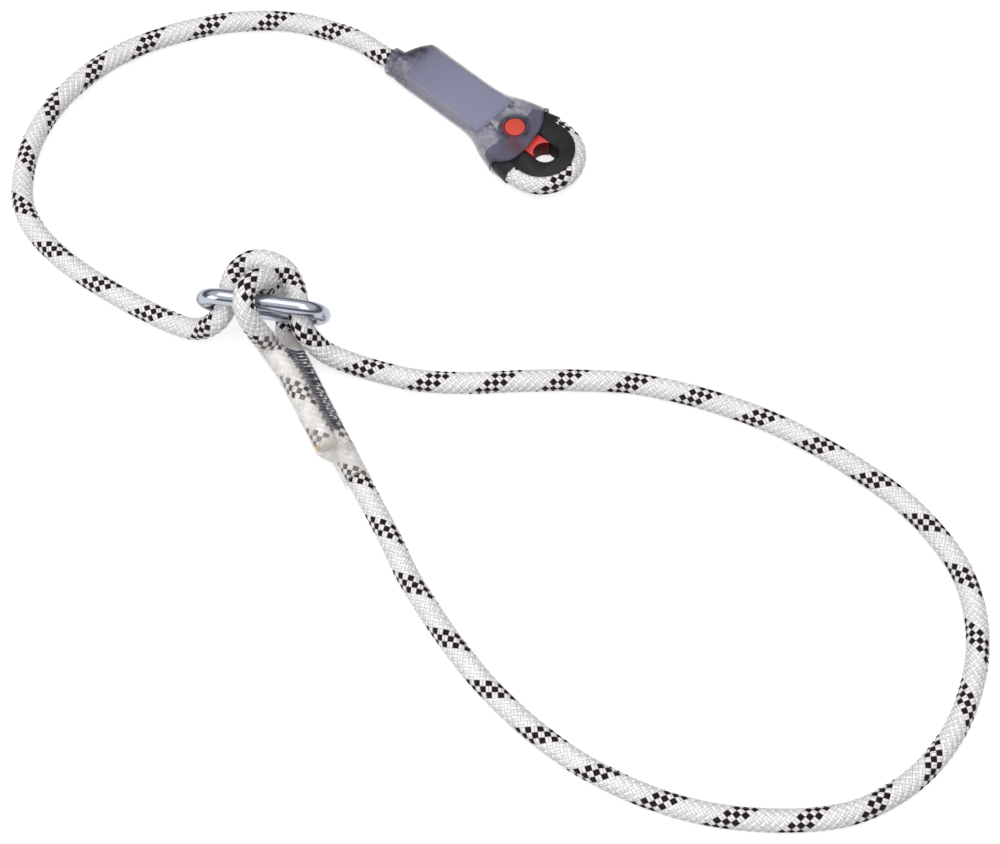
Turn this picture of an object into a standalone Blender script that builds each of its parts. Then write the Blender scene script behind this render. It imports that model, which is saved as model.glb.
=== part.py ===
"""Adjustable rope lanyard: a covered thimble eye at one end and a ring adjuster sewn to the other.

Metres, +Z up. The lanyard lies on the plane z = 0. The origin is on the flat underside of the cover.
"""
import math

import bpy
import bmesh
from mathutils import Matrix, Vector

MM = 0.001

# Rope and the gap that neighbouring pieces keep
ROPE_DIAMETER = 11.0 * MM
CLEARANCE = 0.3 * MM
ROPE_SIDES = 3
ROPE_SPACING = 26.0 * MM
BEND_SPACING = 7.5 * MM
SQUARE_END = 3.0 * MM

# How far a cutter reaches past what it cuts
BEYOND = 1.0 * MM

# Termination: its own frame has X from the cover's mouth to the eye, Y across, Z up and the thimble's centre
TERMINATION_TURN = math.radians(-42.0)
REST_TO_EYE = 55.0 * MM
LEG_OFFSET = ROPE_DIAMETER / 2 + CLEARANCE / 2
LABEL_THICKNESS = 0.2 * MM
COVER_HEADROOM = 0.4 * MM
COVER_FLOOR = 1.6 * MM
COVER_HALF_HEIGHT = ROPE_DIAMETER / 2 + CLEARANCE + LABEL_THICKNESS + COVER_HEADROOM + COVER_FLOOR
TERMINATION_MIDDLE = COVER_HALF_HEIGHT
EYE_ROPE_RADIUS = 18.0 * MM

# Thimble
FLANGE_THICKNESS = 0.7 * MM
THIMBLE_HALF_HEIGHT = ROPE_DIAMETER / 2 + CLEARANCE + FLANGE_THICKNESS
FLANGE_RADIUS = 17.6 * MM
EYE_HOLE_RADIUS = 6.3 * MM
EYE_HOLE_FRONT = 9.0 * MM
SLOT_REAR = -10.6 * MM
SLOT_CHAMFER = 1.2 * MM
EAR_WALL = 0.75 * MM
EAR_REAR = -19.0 * MM
EAR_FRONT_FAR = -6.0 * MM
EAR_FRONT_NEAR = -2.6 * MM
BOSS_RADIUS = 9.0 * MM

# Push button and its pocket
BUTTON_CENTRE = -18.0 * MM
BUTTON_RADIUS = 5.4 * MM
BUTTON_HEIGHT = 7.6 * MM
BUTTON_PROUD = 0.5 * MM
BUTTON_DOME = 0.6 * MM
POCKET_FLOOR = 2.6 * MM
SPRING_WIRE = 0.7 * MM
SPRING_INSET = 1.6 * MM
SPRING_TURNS = 4

# Keeper that closes the eye round a connector
KEEPER_HALF_HEIGHT = 5.7 * MM
KEEPER_FRONT = 0.6 * MM
KEEPER_REAR = -7.2 * MM
KEEPER_SADDLE_RADIUS = 6.6 * MM
KEEPER_SADDLE_AHEAD = 0.7 * MM
KEEPER_HORN = 0.1 * MM

# Cover: collar round the mouth, a neck, the long body and a front part that follows the rope's two legs
COVER_WALL = 0.85 * MM
COVER_FRONT_FLOOR = 1.1 * MM
COVER_CORNER = 4.6 * MM
COLLAR_WALL = 1.7 * MM
COLLAR_LENGTH = 4.5 * MM
COLLAR_EDGE = 0.5 * MM
STEP_LENGTH = 1.0 * MM
COVER_MOUTH = -101.0 * MM
NECK_REAR = -93.0 * MM
NECK_SPREAD = 1.0 * MM
COVER_BOSS_WALL = 1.9 * MM
COVER_BOSS_RISE = 0.5 * MM
COVER_BOSS_DEPTH = 1.5 * MM
# Millimetres: place along, shift across, added half width, lost half height, added corner radius
COVER_BODY = [(-89.5, -2.2, -2.2, 0.4, 0.6), (-86.5, 0.2, 0.2, 0, 0), (-82, 0.1, 0.1, 0, 0),
              (-74, 0, 0, 0, 0), (-46, 0, 0, 0, 0), (-38, 0, 0.8, 0, 0), (-31, 0, 3.8, 0, 0)]
COVER_FRONT_PLACES = (-27, -23, -19, -15, -11, -6, -1)
# A leg that runs at an angle is cut wider than it is
LEG_CUT = 1.12
COVER_FRONT_EDGE = [(-15.5, 30), (-15, 22), (-13.5, 17), (-9.8, 12), (-7.2, 6), (-6.2, 0), (-5.0, -6),
                    (-5.2, -11), (-5.8, -16), (-8.6, -20), (-11.8, -23), (-14, -30)]

# Blank label under the cover
LABEL_FRONT = -31.0 * MM
LABEL_LENGTH = 54.0 * MM
LABEL_TOP_EDGE = 9.0 * MM
LABEL_SIDE_DROP = 3.6 * MM
LABEL_SIDE_LENGTH = 34.0 * MM

# Ring of bent rod: X along its length, Y away from the camera, Z across it
RING_ROD = 8.0 * MM
RING_LENGTH = 67.0 * MM
RING_INSIDE = 12.7 * MM
RING_CENTRE = (-95.7 * MM, -141.4 * MM, 26.6 * MM)
RING_TURN = math.radians(-8.8)
RING_LEAN = math.radians(19.5)

# Shrink sleeve round the sewn end, on a straight line along the ground
SLEEVE_START = (-84.6 * MM, -150.0 * MM)
SLEEVE_END = (-47.2 * MM, -227.8 * MM)
SLEEVE_WALL = 0.8 * MM
SLEEVE_TILT = math.radians(46.0)
SLEEVE_TAIL = 63.5 * MM
SLEEVE_SHOULDER = 6.5 * MM
SHOULDER_FALL = [(0.3, 0.86), (0.65, 0.34)]
SLEEVE_SLACK = 2.6 * MM
SLEEVE_JOIN = 3.0 * MM
SLEEVE_OPEN = 5.0 * MM
SLEEVE_FLARE = 1.5 * MM
TAIL_LEG_LIFT = [(1, 3.6), (5, 1.1), (10, 0.1), (20, 0)]
STITCH_LENGTH = 49.0 * MM
STITCH_START = 9.0 * MM
COVER_STITCH_START = -80.0 * MM
STITCH_FROM_CROWN = 2.35 * MM
STITCH_HALF_WIDTH = LEG_OFFSET - STITCH_FROM_CROWN
STITCH_LIFT = 0.02 * MM
COVER_STITCH_LENGTH = 39.0 * MM

# Routes of the rope, in millimetres. The thimble's is in the termination's frame: one leg from its tail, with
# the spread from where the two legs lie side by side
THIMBLE_LEG = [(-84, 0), (-72, 0), (-60, 0), (-52, 0), (-45, 0.15), (-38, 0.85), (-31, 2.45), (-24, 5.15),
               (-17, 8.25), (-11, 10.85), (-5, 12.15)]
MOUTH_ROUTE = [(-84, -5.65), (-91, -5.9), (-98, -6.4), (-109, -7.5)]
STANDING_ROUTE = [(-54, 38, 7.2), (-87, 52, 5.5), (-120, 53, 5.5), (-153, 45, 5.5), (-183, 30, 5.5),
                  (-208, 5, 5.5), (-223, -28, 5.5), (-223, -68, 5.6), (-202, -98, 5.8), (-147, -135.5, 6.2)]
BIGHT_IN_RING = [(-33.6, -12.3, -14.1), (-22.8, -9.4, -4.4), (-18.2, -2, -0.2), (-17.5, 14, -2.4),
                 (-11.2, 22.6, -4.2), (-2.6, 24, -4.2), (6.5, 20.8, -4), (12.6, 13.2, -3.5), (18, -1.5, 0.2),
                 (20.3, -7.2, -1.7), (29.8, -15, -9.9), (39.4, -17.9, -13.9)]
LOOP_ROUTE = [(-18, -171, 5.8), (54, -170.5, 5.6), (92, -173.5, 5.5), (151, -194, 5.5), (201, -228, 5.5),
              (222, -250, 5.5), (237, -277.5, 5.5), (240.5, -309, 5.5), (233, -340.5, 5.5),
              (217, -367.5, 5.5), (194, -387, 5.5), (167, -397, 5.5), (111, -395, 5.5), (59, -373.5, 5.5),
              (15, -335, 5.5), (-20, -283.5, 5.5), (-34, -254, 5.9)]
EYE_IN_RING = [(9.8, -7.8, -19.5), (8.6, -1.5, -21.6), (6.6, 6.8, -19.2), (2, 11.1, -11.5),
               (-1.7, 10.8, -4), (-0.9, 10.9, 3), (1.3, 12, 9.8), (-2, 9.5, 17.6), (-6.5, 2, 21.8),
               (-6.9, -5.9, 19.9), (-4.5, -10.1, 15), (-1.4, -11.5, 10.3), (1.9, -11.7, 5),
               (4.7, -11.9, -0.5)]


def clear_scene():
    for old in list(bpy.data.objects):
        bpy.data.objects.remove(old, do_unlink=True)


def material(name, colour, roughness, metallic=0.0):
    made = bpy.data.materials.new(name)
    made.use_nodes = True
    shader = made.node_tree.nodes["Principled BSDF"]
    shader.inputs["Base Color"].default_value = (*colour, 1.0)
    shader.inputs["Roughness"].default_value = roughness
    shader.inputs["Metallic"].default_value = metallic
    made.diffuse_color = (*colour, 1.0)
    return made


def add_object(name, data, finish=None, parent=None):
    made = bpy.data.objects.new(name, data)
    bpy.context.scene.collection.objects.link(made)
    made.parent = parent
    if finish:
        data.materials.append(finish)
    return made


def frame_empty(name, matrix):
    made = add_object(name, None)
    made.matrix_world = matrix
    return made


def loft_mesh(name, sections, closed=False):
    """Skin over sections of equal point counts, with flat ends unless the last joins the first."""
    shape = bmesh.new()
    rings = [[shape.verts.new(point) for point in section] for section in sections]
    pairs = list(zip(rings, rings[1:]))
    if closed:
        pairs.append((rings[-1], rings[0]))
    for first, second in pairs:
        for here in range(len(first)):
            there = (here + 1) % len(first)
            shape.faces.new((first[here], first[there], second[there], second[here]))
    if not closed:
        shape.faces.new(rings[0][::-1])
        shape.faces.new(rings[-1])
    bmesh.ops.recalc_face_normals(shape, faces=shape.faces)
    mesh = bpy.data.meshes.new(name)
    shape.to_mesh(mesh)
    shape.free()
    return mesh


def prism_mesh(name, outline, bottom, top):
    return loft_mesh(name, [[(x, y, z) for x, y in outline] for z in (bottom, top)])


def arc(centre, radius, start, end, steps):
    """Points on an arc in the XY plane, angles in degrees."""
    angles = [math.radians(start + (end - start) * step / steps) for step in range(steps + 1)]
    return [(centre[0] + radius * math.cos(a), centre[1] + radius * math.sin(a)) for a in angles]


def cylinder_mesh(name, centre, radius, bottom, top, sides=32):
    return prism_mesh(name, arc(centre, radius, 0, 360 - 360 / sides, sides - 1), bottom, top)


def boolean(target, tool, operation):
    """Joins or cuts with a hidden object in the same frame."""
    tool.hide_render = True
    tool.display_type = "WIRE"
    change = target.modifiers.new(tool.name, "BOOLEAN")
    change.operation = operation
    change.object = tool
    change.solver = "EXACT"


def smooth_route(points, spacing, first=0, last=None):
    """Points about one spacing apart on a centripetal Catmull-Rom curve, from one route point to another."""
    points = [Vector(point) for point in points]
    last = len(points) - 1 if last is None else last
    points = [2 * points[0] - points[1], *points, 2 * points[-1] - points[-2]]
    fine = []
    for start in range(first, last):
        p0, p1, p2, p3 = points[start:start + 4]
        t1 = (p1 - p0).length ** 0.5
        t2 = t1 + (p2 - p1).length ** 0.5
        t3 = t2 + (p3 - p2).length ** 0.5
        for step in range(16):
            t = t1 + (t2 - t1) * step / 16
            a1 = p0.lerp(p1, t / t1)
            a2 = p1.lerp(p2, (t - t1) / (t2 - t1))
            a3 = p2.lerp(p3, (t - t2) / (t3 - t2))
            b1 = a1.lerp(a2, t / t2)
            b2 = a2.lerp(a3, (t - t1) / (t3 - t1))
            fine.append(b1.lerp(b2, (t - t1) / (t2 - t1)))
    fine.append(points[last + 1])
    travelled = [0.0]
    for here, there in zip(fine, fine[1:]):
        travelled.append(travelled[-1] + (there - here).length)
    count = max(2, round(travelled[-1] / spacing))
    even = []
    place = 0
    for step in range(count + 1):
        wanted = travelled[-1] * step / count
        while place < len(fine) - 2 and travelled[place + 1] < wanted:
            place += 1
        share = (wanted - travelled[place]) / (travelled[place + 1] - travelled[place])
        even.append(fine[place].lerp(fine[place + 1], share))
    return even


def tube_curve(name, points, radius, sides=ROPE_SIDES, cyclic=False):
    """A curve with a round bevel through the points."""
    curve = bpy.data.curves.new(name, "CURVE")
    curve.dimensions = "3D"
    curve.bevel_depth = radius
    curve.bevel_resolution = sides
    curve.use_fill_caps = not cyclic
    spline = curve.splines.new("POLY")
    spline.points.add(len(points) - 1)
    for knot, point in zip(spline.points, points):
        knot.co = (*point, 1.0)
    spline.use_cyclic_u = cyclic
    return curve


def level_tube_mesh(name, points, radius, sides):
    """A round tube through points at one height, as a mesh for Booleans."""
    sections = []
    for place, point in enumerate(points):
        along = points[min(place + 1, len(points) - 1)] - points[max(place - 1, 0)]
        across = Vector((along.y, -along.x, 0)).normalized()
        circle = arc((0, 0), radius, 0, 360 - 360 / sides, sides - 1)
        sections.append([point + across * y + Vector((0, 0, z)) for y, z in circle])
    return loft_mesh(name, sections)


def in_metres(route):
    return [Vector(point) * MM for point in route]


def termination_matrix():
    turn = Matrix.Rotation(TERMINATION_TURN, 4, "Z")
    return Matrix.Translation(turn @ Vector((REST_TO_EYE, 0, 0))) @ turn


def ring_matrix():
    turn = Matrix.Rotation(RING_TURN, 4, "Z") @ Matrix.Rotation(RING_LEAN, 4, "X")
    return Matrix.Translation(RING_CENTRE) @ turn


def thimble_route():
    """The rope's whole way in the termination: tail, round the thimble and back to the join in the mouth."""
    height = TERMINATION_MIDDLE / MM
    leg = [(x, LEG_OFFSET / MM + spread, height) for x, spread in THIMBLE_LEG]
    bend = [(x / MM, y / MM, height) for x, y in arc((0, 0), EYE_ROPE_RADIUS, 90, -90, 8)]
    back = [(x, -y, height) for x, y, height in leg[::-1]]
    mouth = [(x, y, height) for x, y in MOUTH_ROUTE[1:3]]
    return in_metres(leg + bend + back[:-1] + mouth)


def thimble_points():
    return smooth_route(thimble_route(), BEND_SPACING)


def rounded_section(x, centre, half_width, half_height, corner, steps=4):
    """Rounded rectangle across X, its middle at the rope's height."""
    points = []
    for quarter, (side, rise) in enumerate(((1, 1), (-1, 1), (-1, -1), (1, -1))):
        middle = (centre + side * (half_width - corner), rise * (half_height - corner))
        for y, z in arc(middle, corner, 90 * quarter, 90 * quarter + 90, steps):
            points.append((x, y, TERMINATION_MIDDLE + z))
    return points


def value_at(table, x):
    """Second column of a table in millimetres, read between its rows at a place in metres."""
    rows = sorted((place * MM, value * MM) for place, value in table)
    for (x0, y0), (x1, y1) in zip(rows, rows[1:]):
        if x0 <= x <= x1:
            return y0 + (y1 - y0) * (x - x0) / (x1 - x0)
    return rows[-1][1]


def leg_width_at(x):
    """Distance of the rope's centre from the termination's middle line."""
    return LEG_OFFSET + value_at(THIMBLE_LEG, x)


def cover_sections(wall):
    """Sections of the cover's outside, or without a wall of its inside."""
    rope = ROPE_DIAMETER / 2
    collar = rope + CLEARANCE + (COLLAR_WALL if wall else 0)
    neck = rope + CLEARANCE + wall
    body = LEG_OFFSET + rope + 2 * CLEARANCE + LABEL_THICKNESS + wall
    leg = (rope + CLEARANCE + EAR_WALL + CLEARANCE + wall) * LEG_CUT
    tall = COVER_HALF_HEIGHT - (0 if wall else COVER_FLOOR)
    front_tall = COVER_HALF_HEIGHT - (0 if wall else COVER_FRONT_FLOOR)
    corner = COVER_CORNER - COVER_WALL + wall
    edge = COLLAR_EDGE if wall else 0
    mouth = COVER_MOUTH - (0 if wall else STEP_LENGTH)
    collar_end = COVER_MOUTH + COLLAR_LENGTH
    round_part = [(mouth, collar - edge), (COVER_MOUTH + STEP_LENGTH, collar), (collar_end, collar),
                  (collar_end + STEP_LENGTH, neck)]
    sections = [rounded_section(x, value_at(MOUTH_ROUTE, x), size, size, size) for x, size in round_part]
    sections.append(rounded_section(NECK_REAR, value_at(MOUTH_ROUTE, NECK_REAR) + NECK_SPREAD,
                                    neck + NECK_SPREAD, neck, neck - NECK_SPREAD))
    for row in COVER_BODY:
        x, shift, widen, lower, rounder = (value * MM for value in row)
        sections.append(rounded_section(x, shift, body + widen, tall - lower, corner + rounder))
    for place in COVER_FRONT_PLACES:
        x = place * MM
        sections.append(rounded_section(x, 0, leg_width_at(x) + leg, front_tall, corner))
    return sections


def build_cover(parent, finish):
    skin = loft_mesh("protective_cover", cover_sections(COVER_WALL))
    cover = add_object("protective_cover", skin, finish, parent)
    boss_top = TERMINATION_MIDDLE + COVER_HALF_HEIGHT + COVER_BOSS_RISE
    boss_radius = BUTTON_RADIUS + CLEARANCE + COVER_BOSS_WALL
    boss_mesh = cylinder_mesh("cover_boss", (BUTTON_CENTRE, 0), boss_radius, boss_top - COVER_BOSS_DEPTH,
                              boss_top)
    boolean(cover, add_object("cover_boss", boss_mesh, None, parent), "UNION")
    inside = add_object("cover_inside", loft_mesh("cover_inside", cover_sections(0)), None, parent)
    boolean(cover, inside, "DIFFERENCE")
    front = [(x * MM, y * MM) for x, y in COVER_FRONT_EDGE]
    beyond = abs(front[0][1])
    front += [(beyond, -beyond), (beyond, beyond)]
    front_mesh = prism_mesh("cover_front", front, -beyond, beyond)
    boolean(cover, add_object("cover_front", front_mesh, None, parent), "DIFFERENCE")
    hole_mesh = cylinder_mesh("cover_button_hole", (BUTTON_CENTRE, 0), BUTTON_RADIUS + CLEARANCE,
                              TERMINATION_MIDDLE, boss_top + BEYOND)
    boolean(cover, add_object("cover_button_hole", hole_mesh, None, parent), "DIFFERENCE")
    return cover


def slot_outline(spread):
    """The eye's slot: round in front, square behind, made wider by a spread."""
    radius = EYE_HOLE_RADIUS + spread
    centre = (EYE_HOLE_FRONT - EYE_HOLE_RADIUS, 0)
    return arc(centre, radius, -90, 90, 16) + [(SLOT_REAR, radius), (SLOT_REAR, -radius)]


def build_thimble(parent, finish):
    low = TERMINATION_MIDDLE - THIMBLE_HALF_HEIGHT
    high = TERMINATION_MIDDLE + THIMBLE_HALF_HEIGHT
    rear = BUTTON_CENTRE
    outline = arc((0, 0), FLANGE_RADIUS, -100, 100, 30)
    outline += [(EAR_REAR / 2, leg_width_at(EAR_REAR / 2)), (EAR_REAR, leg_width_at(EAR_REAR))]
    outline += arc((rear, 0), BOSS_RADIUS, 100, 260, 14)
    outline += [(EAR_REAR, -leg_width_at(EAR_REAR)), (EAR_REAR / 2, -leg_width_at(EAR_REAR / 2))]
    thimble = add_object("thimble", prism_mesh("thimble", outline, low, high), finish, parent)
    ear_radius = ROPE_DIAMETER / 2 + CLEARANCE + EAR_WALL
    for side, name, ear_front in ((1, "ear_far", EAR_FRONT_FAR), (-1, "ear_near", EAR_FRONT_NEAR)):
        stations = [EAR_REAR, (EAR_REAR + ear_front) / 2, ear_front]
        points = [Vector((x, side * leg_width_at(x), TERMINATION_MIDDLE)) for x in stations]
        ear = add_object(name, level_tube_mesh(name, points, ear_radius, 20), None, parent)
        boolean(thimble, ear, "UNION")
    groove_radius = ROPE_DIAMETER / 2 + CLEARANCE
    groove = [point for point in thimble_points() if point.x > 2.2 * EAR_REAR]
    tool = add_object("rope_groove", level_tube_mesh("rope_groove", groove, groove_radius, 16), None, parent)
    boolean(thimble, tool, "DIFFERENCE")
    levels = ((low - BEYOND, BEYOND + SLOT_CHAMFER), (low + SLOT_CHAMFER, 0),
              (high - SLOT_CHAMFER, 0), (high + BEYOND, BEYOND + SLOT_CHAMFER))
    slot = [[(x, y, z) for x, y in slot_outline(spread)] for z, spread in levels]
    boolean(thimble, add_object("eye_slot", loft_mesh("eye_slot", slot), None, parent), "DIFFERENCE")
    pocket = cylinder_mesh("button_pocket", (BUTTON_CENTRE, 0), BUTTON_RADIUS + CLEARANCE,
                           low + POCKET_FLOOR, high + BEYOND)
    boolean(thimble, add_object("button_pocket", pocket, None, parent), "DIFFERENCE")
    return thimble


def button_top():
    return TERMINATION_MIDDLE + COVER_HALF_HEIGHT + COVER_BOSS_RISE + BUTTON_PROUD


def build_button(parent, finish):
    """A round push button with a low dome, its object origin on its line of travel."""
    top = button_top()
    shape = bmesh.new()
    bottom = top - BUTTON_HEIGHT
    profile = [(0, bottom), (BUTTON_RADIUS, bottom), (BUTTON_RADIUS, top - BUTTON_DOME)]
    for angle in (30, 60):
        turn = math.radians(angle)
        profile.append((BUTTON_RADIUS - BUTTON_DOME * (1 - math.cos(turn)),
                        top - BUTTON_DOME * (1 - math.sin(turn))))
    profile += [(BUTTON_RADIUS - BUTTON_DOME, top), (0, top)]
    verts = [shape.verts.new((radius, 0, height)) for radius, height in profile]
    edges = [shape.edges.new(pair) for pair in zip(verts, verts[1:])]
    bmesh.ops.spin(shape, geom=verts + edges, cent=(0, 0, 0), axis=(0, 0, 1), angle=2 * math.pi, steps=32)
    bmesh.ops.remove_doubles(shape, verts=shape.verts, dist=1e-6)
    bmesh.ops.recalc_face_normals(shape, faces=shape.faces)
    mesh = bpy.data.meshes.new("lock_button")
    shape.to_mesh(mesh)
    shape.free()
    button = add_object("lock_button", mesh, finish, parent)
    button.location = (BUTTON_CENTRE, 0, 0)
    return button


def build_spring(parent, finish):
    """The button's return spring, one helix between the pocket's floor and the button."""
    bottom = TERMINATION_MIDDLE - THIMBLE_HALF_HEIGHT + POCKET_FLOOR + CLEARANCE + SPRING_WIRE / 2
    top = button_top() - BUTTON_HEIGHT - CLEARANCE - SPRING_WIRE / 2
    radius = BUTTON_RADIUS - SPRING_INSET
    count = 10 * SPRING_TURNS
    points = []
    for step in range(count + 1):
        turn = 2 * math.pi * step / 10
        height = bottom + (top - bottom) * step / count
        points.append((BUTTON_CENTRE + radius * math.cos(turn), radius * math.sin(turn), height))
    helix = tube_curve("button_spring", points, SPRING_WIRE / 2, 1)
    return add_object("button_spring", helix, finish, parent)


def build_keeper(parent, finish):
    """A saddle that slides in the eye's slot, its concave front facing the connector."""
    half = EYE_HOLE_RADIUS - CLEARANCE
    centre = (EYE_HOLE_FRONT - EYE_HOLE_RADIUS + KEEPER_SADDLE_AHEAD, 0)
    reach = math.degrees(math.asin((half - KEEPER_HORN) / KEEPER_SADDLE_RADIUS))
    saddle = arc(centre, KEEPER_SADDLE_RADIUS, 180 - reach, 180 + reach, 14)
    outline = [(KEEPER_REAR, half), (KEEPER_REAR, -half), (KEEPER_FRONT, -half)] + saddle[::-1]
    outline += [(KEEPER_FRONT, half)]
    keeper = add_object("connector_keeper", prism_mesh("connector_keeper", outline,
                        TERMINATION_MIDDLE - KEEPER_HALF_HEIGHT, TERMINATION_MIDDLE + KEEPER_HALF_HEIGHT),
                        finish, parent)
    return keeper


def build_label(parent, finish):
    """A blank label over the two rope legs; its rear part folds down the near side."""
    inner = ROPE_DIAMETER / 2 + CLEARANCE
    outer = inner + LABEL_THICKNESS
    middle = (-LEG_OFFSET, TERMINATION_MIDDLE)
    low = TERMINATION_MIDDLE - LABEL_SIDE_DROP
    over = arc(middle, outer, 90, 180, 6)
    under = arc(middle, inner, 180, 90, 6)
    fold = [(LABEL_TOP_EDGE, over[0][1]), *over, (over[-1][0], low), (under[0][0], low), *under,
            (LABEL_TOP_EDGE, under[-1][1])]
    rear = LABEL_FRONT - LABEL_LENGTH
    sections = [[(x, y, z) for y, z in fold] for x in (rear, LABEL_FRONT)]
    label = add_object("marking_label", loft_mesh("marking_label", sections), finish, parent)
    beyond = LABEL_FRONT + BEYOND
    side_end = rear + LABEL_SIDE_LENGTH
    edge = -LEG_OFFSET - BEYOND
    outside = edge - 2 * outer
    corner = [(side_end, edge), (side_end, outside), (beyond, outside), (beyond, edge)]
    cut = prism_mesh("label_side_cut", corner, 0, TERMINATION_MIDDLE + 2 * outer)
    boolean(label, add_object("label_side_cut", cut, None, parent), "DIFFERENCE")
    return label


def stitch_profile():
    """Across the valley between two ropes side by side: the thread fills it up to the ropes' tops."""
    rope = ROPE_DIAMETER / 2
    reach = rope + CLEARANCE
    half = []
    for across in (0, 0.35, 0.7, 1.0):
        y = STITCH_HALF_WIDTH * across
        half.append((y, math.sqrt(reach ** 2 - (LEG_OFFSET - y) ** 2) + STITCH_LIFT))
    half.append((STITCH_HALF_WIDTH, rope))
    left = [(-y, z) for y, z in half[:0:-1]]
    return half + left


def build_thimble_stitching(parent, finish):
    start = COVER_STITCH_START
    sections = []
    for x in (start, start + COVER_STITCH_LENGTH):
        sections.append([(x, y, TERMINATION_MIDDLE + z) for y, z in stitch_profile()])
    return add_object("thimble_stitching", loft_mesh("thimble_stitching", sections), finish, parent)


def sleeve_frame():
    """Start of the lower rope in the sleeve, directions along, to the tail and off the pair, and length."""
    radius = ROPE_DIAMETER / 2 + CLEARANCE + SLEEVE_WALL
    start = Vector((*SLEEVE_START, radius))
    along = Vector((*SLEEVE_END, radius)) - start
    length = along.length
    along.normalize()
    flat = Vector((along.y, -along.x, 0))
    to_tail = flat * math.cos(SLEEVE_TILT) + Vector((0, 0, math.sin(SLEEVE_TILT)))
    outward = -flat * math.sin(SLEEVE_TILT) + Vector((0, 0, math.cos(SLEEVE_TILT)))
    return start, along, to_tail, outward, length


def capsule_section(distance, spread, lift, radius, lowest, steps=8):
    """Outline round two ropes a spread apart, the upper one lifted, flattened where it would go too low."""
    start, along, to_tail, outward, length = sleeve_frame()
    lower = start + along * distance
    upper = lower + to_tail * spread + Vector((0, 0, lift))
    apart = (upper - lower).normalized()
    outward = apart.cross(along)
    points = [lower + apart * y + outward * z for y, z in arc((0, 0), radius, 90, 270, steps)]
    points += [upper + apart * y + outward * z for y, z in arc((0, 0), radius, 270, 450, steps)]
    for point in points:
        point.z = max(point.z, lowest)
    return points


def build_sleeve(finish):
    start, along, to_tail, outward, length = sleeve_frame()
    pair = 2 * LEG_OFFSET
    inner = ROPE_DIAMETER / 2 + CLEARANCE
    outer = inner + SLEEVE_WALL
    shoulder = SLEEVE_TAIL + CLEARANCE
    lift = TAIL_LEG_LIFT[1][1] * MM
    closed = SLEEVE_SLACK
    stations = [(SLEEVE_OPEN, pair, lift, SLEEVE_FLARE),
                (SLEEVE_OPEN + ROPE_DIAMETER / 2, pair, 0, SLEEVE_FLARE / 3),
                (SLEEVE_OPEN + ROPE_DIAMETER, pair, 0, 0), (shoulder, pair, 0, 0)]
    stations += [(shoulder + SLEEVE_SHOULDER * along_share, pair * share, 0, 0)
                 for along_share, share in SHOULDER_FALL]
    stations += [(shoulder + SLEEVE_SHOULDER, closed, 0, 0), (length, closed, 0, 0)]
    skin = [capsule_section(*place, outer + flare, 0) for *place, flare in stations]
    bore = [capsule_section(*place, inner + flare, SLEEVE_WALL) for *place, flare in stations]
    return add_object("shrink_sleeve", loft_mesh("shrink_sleeve", skin + bore[::-1], closed=True), finish)


def build_ring_stitching(finish):
    start, along, to_tail, outward, length = sleeve_frame()
    middle = start + to_tail * LEG_OFFSET
    sections = []
    for distance in (STITCH_START, STITCH_START + STITCH_LENGTH):
        sections.append([middle + along * distance + to_tail * y + outward * z for y, z in stitch_profile()])
    return add_object("ring_eye_stitching", loft_mesh("ring_eye_stitching", sections), finish)


def build_ring(finish):
    """A rod bent to a long ring and closed: two straight bars and two half rounds."""
    radius = (RING_INSIDE + RING_ROD) / 2
    straight = (RING_LENGTH - RING_ROD) / 2 - radius
    path = [(x, 0, z) for x, z in arc((straight, 0), radius, -90, 90, 14)]
    path += [(x, 0, z) for x, z in arc((-straight, 0), radius, 90, 270, 14)]
    frame = frame_empty("ring_pivot", ring_matrix())
    rod = tube_curve("adjuster_ring", path, RING_ROD / 2, 6, cyclic=True)
    return add_object("adjuster_ring", rod, finish, frame)


def ring_points(route):
    return [ring_matrix() @ point for point in in_metres(route)]


def build_free_rope(finish):
    """Three stretches of the one free rope, which meet face to face."""
    start, along, to_tail, outward, length = sleeve_frame()
    turn = termination_matrix()
    (join, side), (outside, far_side) = MOUTH_ROUTE[2:]
    mouth = [turn @ Vector((join * MM - CLEARANCE, side * MM, TERMINATION_MIDDLE)),
             turn @ Vector((outside * MM, far_side * MM, TERMINATION_MIDDLE))]
    sleeve = [start + along * length, start + along * (length - SLEEVE_JOIN + CLEARANCE)]
    before = mouth + in_metres(STANDING_ROUTE)
    bight = ring_points(BIGHT_IN_RING)
    route = before + bight + in_metres(LOOP_ROUTE) + sleeve
    bight_start = len(before)
    bight_end = bight_start + len(bight) - 1
    stretches = (("rope_standing", 0, bight_start, ROPE_SPACING),
                 ("rope_bight", bight_start, bight_end, BEND_SPACING),
                 ("rope_loop", bight_end, len(route) - 1, ROPE_SPACING))
    for name, first, last, spacing in stretches:
        points = smooth_route(route, spacing, first, last)
        if first:
            heading = heading_at(route, first)
            points[0] += heading * CLEARANCE
            points.insert(1, points[0] + heading * SQUARE_END)
        if last < len(route) - 1:
            points.insert(-1, points[-1] - heading_at(route, last) * SQUARE_END)
        add_object(name, tube_curve(name, points, ROPE_DIAMETER / 2), finish)


def heading_at(route, place):
    """Direction of the smooth curve at one of its route points."""
    here, there = smooth_route(route, 0.5 * MM, place, place + 1)[:2]
    return (there - here).normalized()


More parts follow.
